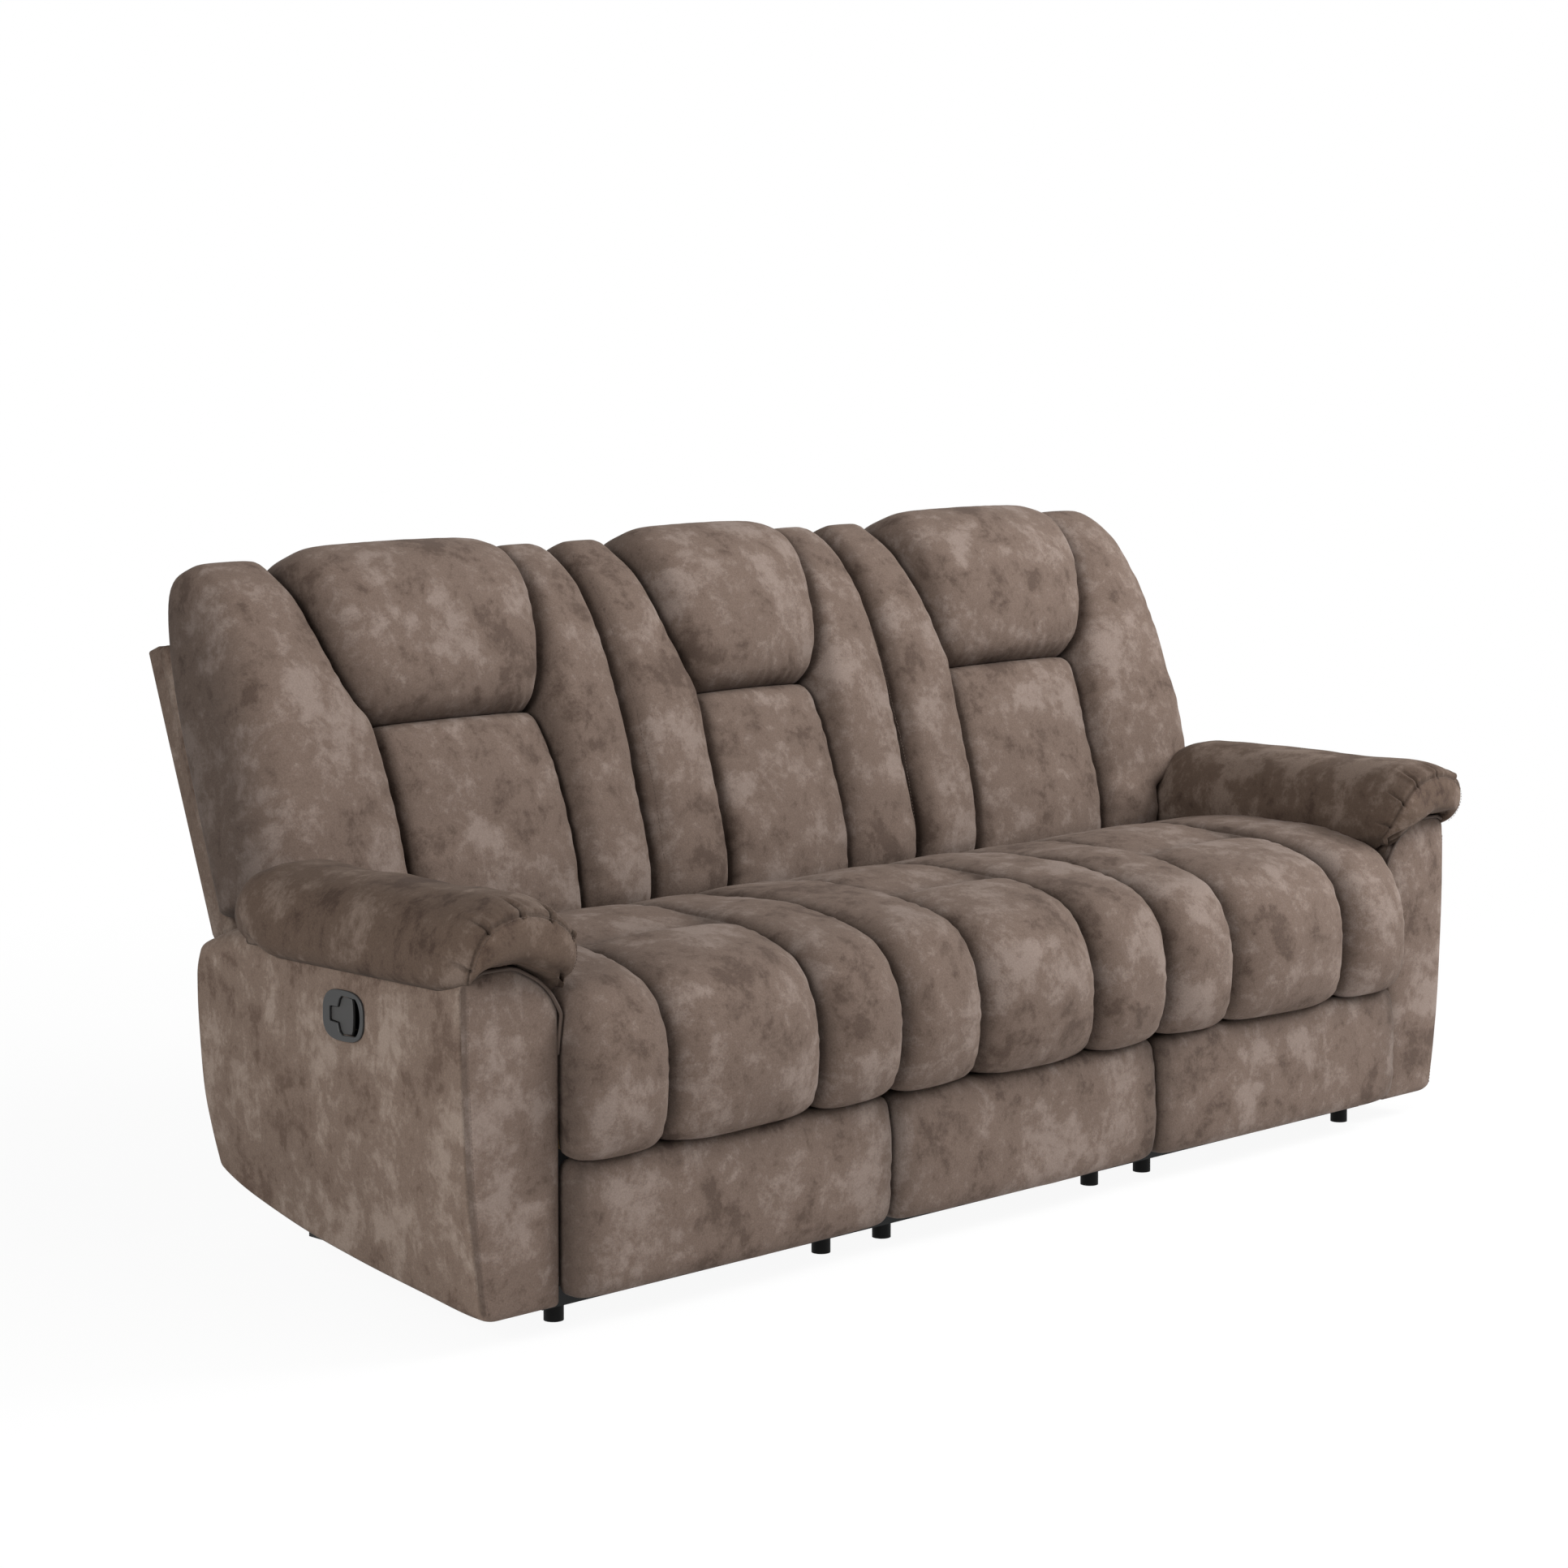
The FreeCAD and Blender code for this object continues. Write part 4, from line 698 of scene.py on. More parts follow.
def back_pad(height_range, sides, crown, powers, rear, seed, roll, counts, gather=(), top_crease_shade=0.0,
             drawn_in=False):
    """A stuffed back piece. sides are its left and right edge by height, and crown is the depth of its
    front, which falls by roll to its sides. rear is its back face, and counts are the cuts of its grid.
    gather lists folds at its low or high seam, top_crease_shade is how much painted shade darkens its upper
    seam, and drawn_in pulls its lower corners back."""
    cube, faces = cube_surface(spread(counts[0], 0.6), spread(counts[1], 0.2), spread(counts[2], 0.5))
    a, b, c = rounded(cube, powers).T
    low, high = height_range
    height = low + (high - low) * (c + 1) / 2
    x0 = sides[0](height)
    x1 = sides[1](height)
    half = (x1 - x0) / 2
    x = (x0 + x1) / 2 + a * half
    front = crown(height) - roll * a * a
    forward = rear + (front - rear) * (b + 1) / 2
    spot = np.stack([x, forward, height], -1)
    face = np.clip(b, 0, 1)
    to_side = (1 - np.abs(a)) * half
    to_low = (c + 1) / 2 * (high - low)
    to_high = (1 - c) / 2 * (high - low)
    lift = 2.4 * ripples(spot, 210.0, seed) + 0.9 * ripples(spot, 80.0, seed + 1)
    side_folds = gathers(height + 9.0 * np.sign(a), 38.0, seed + 2)
    lift += 2.4 * side_folds * np.exp(-to_side / 20.0)
    if drawn_in:
        corner = np.hypot(to_side, to_low)
        lift -= 9.0 * np.exp(-(corner / 15.0) ** 2)
    for reach, depth, spacing, end, number in gather:
        away = to_low if end == "low" else to_high
        folds = gathers(x + 0.25 * away * np.sign(a), spacing, seed + number)
        lift += depth * folds * np.exp(-away / reach)
    forward = forward + lift * face
    # Painted shade: darker at the sides and seams, on the back half and in the valleys of the side folds
    crease_shade = 0.85 * np.exp(-to_side / 13.0) + 0.8 * np.exp(-to_low / 12.0)
    crease_shade += top_crease_shade * np.exp(-to_high / 12.0)
    crease_shade += 0.6 * np.clip(0.5 - b, 0, 1) - 0.1 * side_folds * np.exp(-to_side / 20.0)
    return leaned(x, forward, height), faces, crease_shade


# %% Head pillows and lumbar pads
# Lower and upper end above the hinge line, powers that round the edges, fall of the front to its sides,
# cuts of the grid, and how much painted shade darkens the lumbar pad's upper seam under the pillow
PILLOW_RANGE = (404.0, 699.0)
PILLOW_POWERS = (12.0, 3.8, 22.0, 3.0)
PILLOW_ROLL = 20.0
PILLOW_CUTS = (80, 26, 76)
LUMBAR_RANGE = (46.0, 410.0)
LUMBAR_POWERS = (20.0, 5.0, 14.0, 20.0)
LUMBAR_ROLL = 13.0
LUMBAR_CUTS = (64, 14, 90)
LUMBAR_CREASE_SHADE = 0.5
# What the pads keep clear of the bolsters, and how far forward of the hinge line their back face lies
PAD_GAP = 1.0
PAD_REAR = -9.0
# Folds as reach, depth and spacing in millimetres, the seam they start from and their part of the seed
LUMBAR_GATHERS = ((30.0, 1.8, 26.0, "high", 5),)
PILLOW_GATHERS = ((34.0, 3.4, 24.0, "low", 5), (26.0, 1.5, 34.0, "high", 7))


def centre_pads(table, seed):
    """Forms of the lumbar pad and the head pillow between the bolsters."""
    left, right = edges(table)
    sides = (lambda h: left(h) + PAD_GAP, lambda h: right(h) - PAD_GAP)
    lumbar = back_pad(LUMBAR_RANGE, sides, curve(*zip(*LUMBAR_CROWN)), LUMBAR_POWERS, PAD_REAR, seed,
                      LUMBAR_ROLL, LUMBAR_CUTS, LUMBAR_GATHERS, LUMBAR_CREASE_SHADE)
    pillow = back_pad(PILLOW_RANGE, sides, curve(*zip(*PILLOW_CROWN)), PILLOW_POWERS, PAD_REAR, seed + 20,
                      PILLOW_ROLL, PILLOW_CUTS, PILLOW_GATHERS, drawn_in=True)
    return lumbar, pillow


lumbar, pillow = centre_pads(MIDDLE_EDGES, 100)
finish_piece(add_piece("middle_lumbar", lumbar, SUEDE), "root", ["middle_lumbar_pad"])
finish_piece(add_piece("middle_pillow", pillow, SUEDE), "root", ["middle_head_pillow"])
lumbar, pillow = centre_pads(END_EDGES, 200)
for side, flip in SIDES:
    piece = add_piece(side + "_lumbar", lumbar, SUEDE, flip)
    finish_piece(piece, side + "_back", [side + "_lumbar_pad"])
    piece = add_piece(side + "_pillow", pillow, SUEDE, flip)
    finish_piece(piece, side + "_back", [side + "_head_pillow"])
print("pillows of", len(pillow[1]), "faces")

# %% Bolsters
BOLSTER_RANGE = (46.0, 690.0)
BOLSTER_POWERS = (6.0, 3.6, 12.0, 2.7)
BOLSTER_ROLL = 10.0
BOLSTER_CUTS = (40, 16, 140)
EAR_POWERS = (8.0, 3.8, 12.0, 2.5)
EAR_ROLL = 15.0
EAR_CUTS = (64, 24, 150)
EAR_REAR = -18.0
# The ear's outer side by height above the hinge line: behind the arm up to 150 mm, above it from 190 mm
EAR_SIDE = ((40, SEAT_OUT - CLEAR), (150, SEAT_OUT - CLEAR), (190, 1018), (800, 1000))
# Distance from the edge of the centre pads
BOLSTER_GAP = 1.0


def constant(value):
    """A curve that keeps one value."""
    return lambda height: np.full_like(np.asarray(height, float), value)


def narrow_bolster(table, outside, seed):
    """Full-height bolster between the centre pads and the boundary of the seat at x = outside."""
    left, right = edges(table)
    sides = (lambda h: right(h) + BOLSTER_GAP, constant(outside))
    if outside < table[0][1]:
        sides = (constant(outside), lambda h: left(h) - BOLSTER_GAP)
    return back_pad(BOLSTER_RANGE, sides, curve(*zip(*BOLSTER_CROWN)), BOLSTER_POWERS, PAD_REAR, seed,
                    BOLSTER_ROLL, BOLSTER_CUTS)


def ear_bolster(seed):
    """Outer bolster: narrow behind the arm, it widens above it into an ear."""
    right = edges(END_EDGES)[1]
    sides = (lambda h: right(h) + BOLSTER_GAP, curve(*zip(*EAR_SIDE)))
    return back_pad(BOLSTER_RANGE, sides, curve(*zip(*EAR_CROWN)), EAR_POWERS, EAR_REAR, seed,
                    EAR_ROLL, EAR_CUTS)


right_bolster = narrow_bolster(MIDDLE_EDGES, MIDDLE_SPAN[1], 301)
points, faces, crease_shade = narrow_bolster(MIDDLE_EDGES, MIDDLE_SPAN[1], 302)
left_bolster = (points * (-1.0, 1.0, 1.0), faces, crease_shade)
piece = add_piece("middle_bolsters", joined((right_bolster, left_bolster)), SUEDE)
finish_piece(piece, "root", ["middle_back_bolsters"])
end_bolsters = joined((narrow_bolster(END_EDGES, END_SPAN[0], 303), ear_bolster(304)))
add_pair("bolsters", end_bolsters, SUEDE, "back", "back_bolsters")
print("bolsters of", len(end_bolsters[1]), "faces at each end")

# %% [markdown]
# ## Footrests and front panel
# A footrest is a board with a thin pad, whose cover is pulled round the edges. Its lower corners are
# round. The fixed middle seat has the same panel, so the front looks the same right across.

# %% Front panels
PANEL_LOW = 45.0
PANEL_TOP = 236.0
PANEL_FRONT = 50.0
PANEL_BACK = -8.0
PANEL_POWERS = (26.0, 4.0, 9.0, 12.0)
# How far its front falls back at the sides, the lower and the upper edge
PANEL_SIDES_FALL = 8.0
PANEL_LOW_FALLS = 7.0
PANEL_TOP_FALLS = 10.0
# Distance below the top of the tuck that a footrest's cover makes at its lower edge. The tuck is drawn
# only as painted shade.
PANEL_TUCK = 198.0


def front_panel(x0, x1, seed):
    """Padded panel with a crowned face, pulled in at the edges and gathered at its top corners."""
    cube, faces = cube_surface(spread(110, 0.5), spread(16, 0.3), spread(50, 0.5))
    a, b, c = rounded(cube, PANEL_POWERS).T
    half = (x1 - x0) / 2
    x = (x0 + x1) / 2 + a * half
    z = (PANEL_LOW + PANEL_TOP) / 2 + c * (PANEL_TOP - PANEL_LOW) / 2
    front = PANEL_FRONT - PANEL_SIDES_FALL * a ** 4 - PANEL_LOW_FALLS * np.clip(-c, 0, 1) ** 3
    front -= PANEL_TOP_FALLS * np.clip(c, 0, 1) ** 3
    forward = PANEL_BACK + (front - PANEL_BACK) * (b + 1) / 2
    spot = np.stack([x, forward, z], -1)
    lift = 2.2 * ripples(spot, 170.0, seed) + 0.8 * ripples(spot, 60.0, seed + 1)
    to_top = (1 - c) / 2 * (PANEL_TOP - PANEL_LOW)
    to_side = (1 - np.abs(a)) * half
    corner = np.exp(-to_side / 60.0)
    lift += 2.4 * gathers(x, 30.0, seed + 2) * np.exp(-to_top / 26.0) * (0.3 + corner)
    lift += 1.6 * gathers(z, 36.0, seed + 3) * np.exp(-to_side / 22.0)
    # Painted shade: darker under the top edge, at the sides and in a band along the tuck
    crease_shade = 0.8 * np.exp(-to_top / 22.0) + np.exp(-to_side / 26.0)
    crease_shade += 0.4 * np.exp(-((to_top - PANEL_TUCK) / 20.0) ** 2)
    return np.stack([x, -(forward + lift * np.clip(b, 0, 1)), z], -1), faces, crease_shade


piece = add_piece("middle_panel", front_panel(*MIDDLE_SPAN, 401), SUEDE)
finish_piece(piece, "root", ["middle_front_panel"])
add_pair("footrest_panel", front_panel(*END_SPAN, 402), SUEDE, "footrest", "footrest_pad")
print("panels", PANEL_TOP - PANEL_LOW, "mm high")

# %% [markdown]
# ## Arms
# An arm is a box of timber with a thin pad, covered by a side panel and an arched front panel that meet
# in a crisp top-stitched seam. Piping runs over the arch. Its cushion is a saddle: a roll that lies over
# the arch, closed in front by a facing. The roll's cover is longer than the facing, so it is laid in
# pleats at their seam. The roll and its facing take a darker copy of the suede, for their nap brushed
# down and as painted shade on faces turned from the light, which makes them the darkest pieces.

# %% Arm cover
ARM_FRONT = -12.0
ARM_BACK = 560.0
ARM_FOOT = 36.0
ARM_RISE = 452.0
ARM_SIZE = (84.0, 300.0, 230.0)
ARM_EDGE = 11.0
# The top drops by this much towards the rear, from there on and over that distance
REAR_DROP = 22.0
REAR_DROP_FROM = 470.0
REAR_DROP_OVER = 100.0
# Rise of the lower outer corner in front, bulge of the front panel and depth of the groove beside its seam
CORNER_RISE = 9.0
FRONT_BULGE = 8.0
GROOVE = 1.6
# Height of the arm's top by distance from the middle of the sofa, its outer face and its back by height,
# and its lower edge by distance from the front
ARCH = curve((918, 925, 943, 968, 1014, 1052, 1080, 1091), (434, 448, 473, 492, 510, 510, 499, 486))
ARM_OUTSIDE = curve((35, 92, 187, 262, 389, 485), (1053, 1062, 1075, 1081, 1087, 1088))
ARM_REAR = curve((120, 165, 210, 280, 431, 473, 492), (570, 576, 581, 584, 583, 571, 550))
ARM_LOW = curve((-22, 0, 104, 256, 430, 545, 584), (35, 37, 52, 73, 107, 146, 178))


def arm_cover():
    """Form of the covered box of the arm, and 1 for each face of its front panel."""
    shape, faces = box_grid(ARM_SIZE, ARM_EDGE, (34, 90, 70))
    u, v, w = shape.T
    depth = ARM_FRONT + (v + 1) / 2 * (ARM_BACK - ARM_FRONT)
    height = ARM_FOOT + (w + 1) / 2 * ARM_RISE
    x = ARM_INNER + (u + 1) / 2 * (ARM_OUTSIDE(height) - ARM_INNER)
    drop = REAR_DROP * np.clip((depth - REAR_DROP_FROM) / REAR_DROP_OVER, 0, 1) ** 2
    corner = CORNER_RISE * np.clip((u - 0.6) / 0.4, 0, 1) ** 2 * np.clip(-v, 0, 1) ** 8
    low = ARM_LOW(depth) + corner
    z = low + (w + 1) / 2 * (ARCH(x) - drop - low)
    y = ARM_FRONT + (v + 1) / 2 * (ARM_REAR(z) - ARM_FRONT)
    front = np.clip(-v, 0, 1) ** 30
    y = y - front * FRONT_BULGE * (1 - u ** 4) * (1 - np.abs(w) ** 6)
    y = y + front * gathers(z, 60.0, 501) * (1 - np.abs(u))
    spot = np.stack([x, y, z], -1)
    side = np.clip(u, 0, 1) ** 30 * (1 - np.abs(v) ** 12)
    x = x + side * (1.6 * ripples(spot, 190.0, 502) + 2.0 * (1 - w * w) * (1 - v * v))
    # The seam between front and side panel sits in a shallow groove along the outer front edge
    seam = np.hypot((u - 1) * ARM_SIZE[0], (v + 1) * ARM_SIZE[1] * 0.95) - 5.0
    dent = GROOVE * np.exp(-(seam / 3.0) ** 2)
    x = x - dent
    y = y + dent
    centre = np.array([shape[np.asarray(face)].mean(axis=0) for face in faces])
    in_front = (centre[:, 1] < -0.975) & (centre[:, 0] < 0.985)
    # Painted shade: darker along the corner seam, on the front under the arch and on the inner face
    crease_shade = 0.7 * np.exp(-((seam / 2.5) ** 2)) + 0.6 * front * np.exp(-(ARCH(x) - z) / 16.0)
    crease_shade += 0.8 * np.exp(-(u + 1) * ARM_SIZE[0] / 12.0)
    return (np.stack([x, y, z], -1), faces, crease_shade), in_front.astype(int)


def cut_pocket(piece, form, flip):
    """Cuts the closed form out of the piece."""
    tool = add_piece("Pocket", form, SUEDE, flip)
    cut = piece.modifiers.new("Pocket", "BOOLEAN")
    cut.object = tool
    cut.operation = "DIFFERENCE"
    cut.solver = "EXACT"
    graph = bpy.context.evaluated_depsgraph_get()
    mesh = bpy.data.meshes.new_from_object(piece.evaluated_get(graph))
    piece.modifiers.clear()
    piece.data = mesh
    bpy.data.objects.remove(tool)


HANDLE = np.array((1090.0, 236.0, 421.0))
POCKET_HALF = (22.0, 37.0, 29.0)
POCKET_RADIUS = 14.0
POCKET_INSET = 18.0
cover, front_faces = arm_cover()
shape, faces = box_grid(POCKET_HALF, POCKET_RADIUS, (2, 2, 2), 5)
pocket = moved((shape * POCKET_HALF, faces), HANDLE - (POCKET_INSET, 0.0, 0.0))
for side, flip in SIDES:
    piece = add_piece(side + "_arm_panels", cover, (SUEDE_PANEL, SUEDE), flip, front_faces)
    cut_pocket(piece, pocket, flip)
    finish_piece(piece, "root", [side + "_arm_cover"])
print("arm covers of", len(piece.data.polygons), "faces")


# %% Arm pads
# Skin of the roll from its outer to its inner lower edge: distance from the middle of the sofa and height
PAD_SKIN = ((1090, 481), (1103, 489), (1111, 506), (1112, 530), (1105, 557), (1088, 580), (1060, 596),
            (1022, 604), (982, 602), (948, 590), (921, 566), (906, 534), (900, 504), (900, 480),
            (908, 463))
# Distance from the front of the arms and fullness of the roll, from its rear end to the foot of the facing
PAD_PATH = ((498, 0.04), (515, 0.14), (519, 0.30), (508, 0.50), (492, 0.72), (466, 0.90), (430, 0.98),
            (380, 1.0), (300, 1.0), (220, 1.0), (140, 1.0), (70, 1.0), (26, 0.995), (-4, 0.965),
            (-25, 0.91), (-40, 0.83), (-48, 0.735), (-53, 0.60), (-56, 0.44), (-56, 0.26), (-53, 0.11),
            (-45, 0.04))
# The knot of the path where the facing is sewn on
PAD_SEAM_KNOT = 16
# Place of each pleat across the roll from -1 to 1, and how far it slants
PLEATS = ((-0.80, 0.16), (-0.42, 0.05), (-0.06, -0.03), (0.26, -0.10), (0.55, -0.16), (0.83, -0.12))
# Height of the roll above the arch, and the middle and half the width of the saddle under it
ROLL = 91.0
ARM_MIDDLE = 1003.5
SADDLE_HALF = 84.0
# At the front the facing narrows on the outer side, wraps back at both ends and rises off the arch
FRONT_NARROWS = 0.16
FRONT_WRAPS = 38.0
RISE_OUTER = 9.0
RISE_MIDDLE = 8.0
RISE_INNER = 46.0
# At the rear the outer half makes room for the ear
REAR_SHORTENS = 62.0
REAR_LIFTS = 26.0
# Height of the ridge beside each pleat and depth of the pleat, and how far pleats run back from the seam
PLEAT_RIDGE = 4.6
PLEAT_DEPTH = 7.5
PLEAT_REACH = 34.0


def pad_curves():
    """Skin, saddle and path of the arm pad as curves, with the path's length and where its seam lies."""
    skin = np.array(PAD_SKIN, float)
    run = running_length(skin)
    s = 2 * run / run[-1] - 1
    path = np.array(PAD_PATH, float) * (1.0, ROLL)
    along = running_length(path)
    t = along / along[-1]
    curves = (curve(s, skin[:, 0]), curve(s, skin[:, 1]), curve(t, path[:, 0]), curve(t, path[:, 1] / ROLL))
    return curves + (run[-1], along[-1], t[PAD_SEAM_KNOT])


SKIN_X, SKIN_Z, PATH_Y, PATH_K, PAD_GIRTH, PAD_RUN, PAD_SEAM = pad_curves()


def pad_point(s, t):
    """Points on the skin of the roll and the points of the saddle below them."""
    k = PATH_K(t)
    y = PATH_Y(t)
    rear = np.clip((y - 380.0) / 100.0, 0, 1)
    front = np.clip((40.0 - y) / 80.0, 0, 1)
    outer = np.clip(-s, 0, 1)
    inner = np.clip(s, 0, 1)
    narrow = 1 - FRONT_NARROWS * front ** 1.5 * outer ** 2
    under_x = ARM_MIDDLE - SADDLE_HALF * s * narrow
    under_z = ARCH(under_x) + 2.0
    y = y + front * FRONT_WRAPS * np.abs(s) ** 4 - rear * REAR_SHORTENS * outer ** 3
    rise = front * (RISE_OUTER * outer ** 3 + RISE_MIDDLE * (1 - s * s) + RISE_INNER * inner ** 2.5)
    lift = rear ** 2 * REAR_LIFTS * outer ** 2
    top_z = under_z + (SKIN_Z(s) + lift - under_z) * k + rise * (1 - k * 0.6)
    skin_x = ARM_MIDDLE + (SKIN_X(s) - ARM_MIDDLE) * narrow
    top = np.stack([under_x + (skin_x - under_x) * k, y, top_z], -1)
    foot = np.stack([under_x, np.clip(y, -30.0, 490.0), under_z + rise * 0.7 - 1.0], -1)
    return top, foot


def arm_pad(seed):
    """Form of the roll over the arm with its pleats and facing."""
    columns = spread(150, 0.15)
    rows = np.concatenate([np.linspace(0, 0.62, 60), np.linspace(0.62, 1.0, 110)[1:]])
    cube, faces = cube_surface(columns, np.linspace(0, 1, 4), rows)
    s, b, t = cube.T
    top, foot = pad_point(s, t)
    behind = (PAD_SEAM - t) * PAD_RUN
    across = s * PAD_GIRTH / 2
    lift = 1.5 * ripples(top, 150.0, seed) + 0.7 * ripples(top, 60.0, seed + 1)
    # Painted shade: darker at the facing seam, the roll's edges and end, all over the roll and in the
    # pleats
    crease_shade = 0.75 * np.exp(-(behind / 3.0) ** 2) + 0.45 * np.exp(-(1 - np.abs(s)) * PAD_GIRTH / 30.0)
    crease_shade += 0.5 * np.exp(-(1 - t) * PAD_RUN / 14.0) + 0.35 * np.clip(behind / 6.0, 0, 1)
    for place, slant in PLEATS:
        off = across - (place + slant * behind / 100.0) * PAD_GIRTH / 2
        reach = np.where(behind > 0, np.exp(-(behind / PLEAT_REACH) ** 2), np.exp(-(behind / 5.0) ** 2))
        crease_shade += 0.7 * reach * np.exp(-(off / 3.0) ** 2)
        ridge = PLEAT_RIDGE * np.exp(-((off - 6.5) / 5.0) ** 2)
        lift += reach * (ridge - PLEAT_DEPTH * np.exp(-(off / 2.7) ** 2))
    small_folds = np.where(behind > 0, np.exp(-behind / 12.0), 0.0)
    lift += 1.2 * gathers(across, 17.0, seed + 4) * small_folds
    lift += 1.8 * np.exp(-((behind - 7.0) / 5.0) ** 2) - 4.0 * np.exp(-(behind / 2.6) ** 2)
    lift *= 1 - np.abs(s) ** 10
    way = top - foot
    way[:, 1] -= 30.0 * np.clip((20.0 - top[:, 1]) / 60.0, 0, 1)
    way /= np.linalg.norm(way, axis=1, keepdims=True) + 1e-6
    top = top + way * lift[:, None]
    return foot + (top - foot) * b[:, None], faces, crease_shade


roll = arm_pad(520)
add_pair("arm_roll", roll, SUEDE_NAP_DOWN_AND_SHADE, "root", "arm_pad")
print("arm pads of", len(roll[1]), "faces")


# %% Piping
PIPING_RADIUS = 2.6
# The cord starts at the outer shoulder of the arch and ends down the inner side of the arm
PIPING_OUTER = 1073.0
PIPING_INNER = 919.5


def tube(path, radius, sides=10):
    """Form of a round cord along a line of points."""
    path = np.asarray(path, float)
    way = np.gradient(path, axis=0)
    way /= np.linalg.norm(way, axis=1, keepdims=True)
    first = np.cross(way, (0.0, 1.0, 0.0))
    first /= np.linalg.norm(first, axis=1, keepdims=True) + 1e-9
    second = np.cross(way, first)
    turn = np.linspace(0, 2 * math.pi, sides, endpoint=False)
    ring = np.cos(turn)[None, :, None] * first[:, None] + np.sin(turn)[None, :, None] * second[:, None]
    points = (path[:, None] + ring * radius).reshape(-1, 3)
    faces = []
    for i in range(len(path) - 1):
        for j in range(sides):
            k = (j + 1) % sides
            faces.append((i * sides + j, i * sides + k, (i + 1) * sides + k, (i + 1) * sides + j))
    last = (len(path) - 1) * sides
    faces.append(tuple(range(sides)))
    faces.append(tuple(range(last + sides - 1, last - 1, -1)))
    return points, faces


def arch_line():
    """Front edge of the arm over the arch and down the inner side."""
    x = np.linspace(PIPING_OUTER, PIPING_INNER, 70)
    y = ARM_FRONT - 2.5
    over = np.stack([x, np.full(70, y), ARCH(x) - 2.5], -1)
    down = np.linspace((PIPING_INNER, y, 430.0), (PIPING_INNER + 3.0, y + 4.0, 380.0), 16)
    return np.concatenate([over, down])


cord = tube(arch_line(), PIPING_RADIUS)
add_pair("arm_piping", cord, PIPING, "root")
print("piping of", len(cord[1]), "faces on each arm")


# %% [markdown]
# ## Release handle
# A moulded frame lies on the arm's side panel, with a cup behind it. The lever is a T whose narrow end
# turns on a pin at the rear, and a finger reaches behind its wide end through the gap in front.

# %% Handle
def superellipse(half_y, half_z, power, count=72):
    """A rounded outline about the origin."""
    turn = np.linspace(0, 2 * math.pi, count, endpoint=False)
    size = np.abs(np.cos(turn) / half_y) ** power + np.abs(np.sin(turn) / half_z) ** power
    scale = size ** (-1.0 / power)
    return np.stack([scale * np.cos(turn), scale * np.sin(turn)], -1)


def slot_outline(g):
    """The T-shaped opening, grown by g. Its wide end is bowed towards the front."""
    bow = [(-21.0 - 16.0 * math.cos(a) - g, (27.0 + g) * math.sin(a)) for a in np.linspace(1.25, -1.25, 17)]
    rest = [(2.0, -27.0 - g), (7.0 + g, -22.0 - g), (11.0 + g, -11.0 - g), (27.0 + g, -10.0 - g),
            (29.0 + g, -8.0 - g), (29.0 + g, 8.0 + g), (27.0 + g, 10.0 + g), (11.0 + g, 11.0 + g),
            (7.0 + g, 22.0 + g), (2.0, 27.0 + g)]
    return bow + rest


def lever_outline():
    """The lever's face: the slot's outline without the finger gap, one millimetre smaller."""
    bow = [(-14.0 - 4.0 * math.cos(a), 25.0 * math.sin(a)) for a in np.linspace(1.25, -1.25, 9)]
    rest = [(1.5, -25.4), (6.0, -20.8), (10.0, -9.8), (26.0, -8.6), (27.5, -7.2), (27.5, 7.2), (26.0, 8.6),
            (10.0, 9.8), (6.0, 20.8), (1.5, 25.4)]
    return bow + rest


def plate(outlines, thickness, bevel):
    """Form of a flat plate with holes and rounded edges. Its outlines lie in Y and Z."""
    shape = bpy.data.curves.new("Plate", "CURVE")
    shape.dimensions = "2D"
    shape.fill_mode = "BOTH"
    shape.extrude = thickness / 2 - bevel
    shape.bevel_depth = bevel
    shape.bevel_resolution = 3
    for outline in outlines:
        spline = shape.splines.new("POLY")
        spline.points.add(len(outline) - 1)
        spline.points.foreach_set("co", [v for y, z in outline for v in (y, z, 0.0, 1.0)])
        spline.use_cyclic_u = True
    holder = bpy.data.objects.new("Plate", shape)
    bpy.context.scene.collection.objects.link(holder)
    graph = bpy.context.evaluated_depsgraph_get()
    mesh = bpy.data.meshes.new_from_object(holder.evaluated_get(graph))
    welded = bmesh.new()
    welded.from_mesh(mesh)
    bmesh.ops.remove_doubles(welded, verts=welded.verts[:], dist=0.001)
    points = np.array([(v.co.z, v.co.x, v.co.y) for v in welded.verts])
    faces = [tuple(v.index for v in face.verts) for face in welded.faces]
    welded.free()
    bpy.data.objects.remove(holder)
    bpy.data.meshes.remove(mesh)
    return points, faces


def cup(half_y, half_z, depth, wall):
    """Form of an open box behind the frame, with its rim at x = 0."""
    corners = []
    for inset, bottom in ((0.0, -depth), (wall, wall - depth)):
        for x in (bottom, 0.0):
            for y, z in ((-1, -1), (1, -1), (1, 1), (-1, 1)):
                corners.append((x, y * (half_y - inset), z * (half_z - inset)))
    faces = [(3, 2, 1, 0), (8, 9, 10, 11)]
    for i in range(4):
        k = (i + 1) % 4
        faces.append((i, k, 4 + k, 4 + i))
        faces.append((8 + i, 12 + i, 12 + k, 8 + k))
        faces.append((4 + i, 4 + k, 12 + k, 12 + i))
    return np.array(corners, float), faces


# %% Make the handles
FRAME_HALF = (42.6, 33.6)
FRAME_POWER = 3.0
SLOT_GAP = 1.4
# Thickness and edge of the frame and of the lever
FRAME_PLATE = (4.4, 1.4)
LEVER_PLATE = (5.0, 1.1)
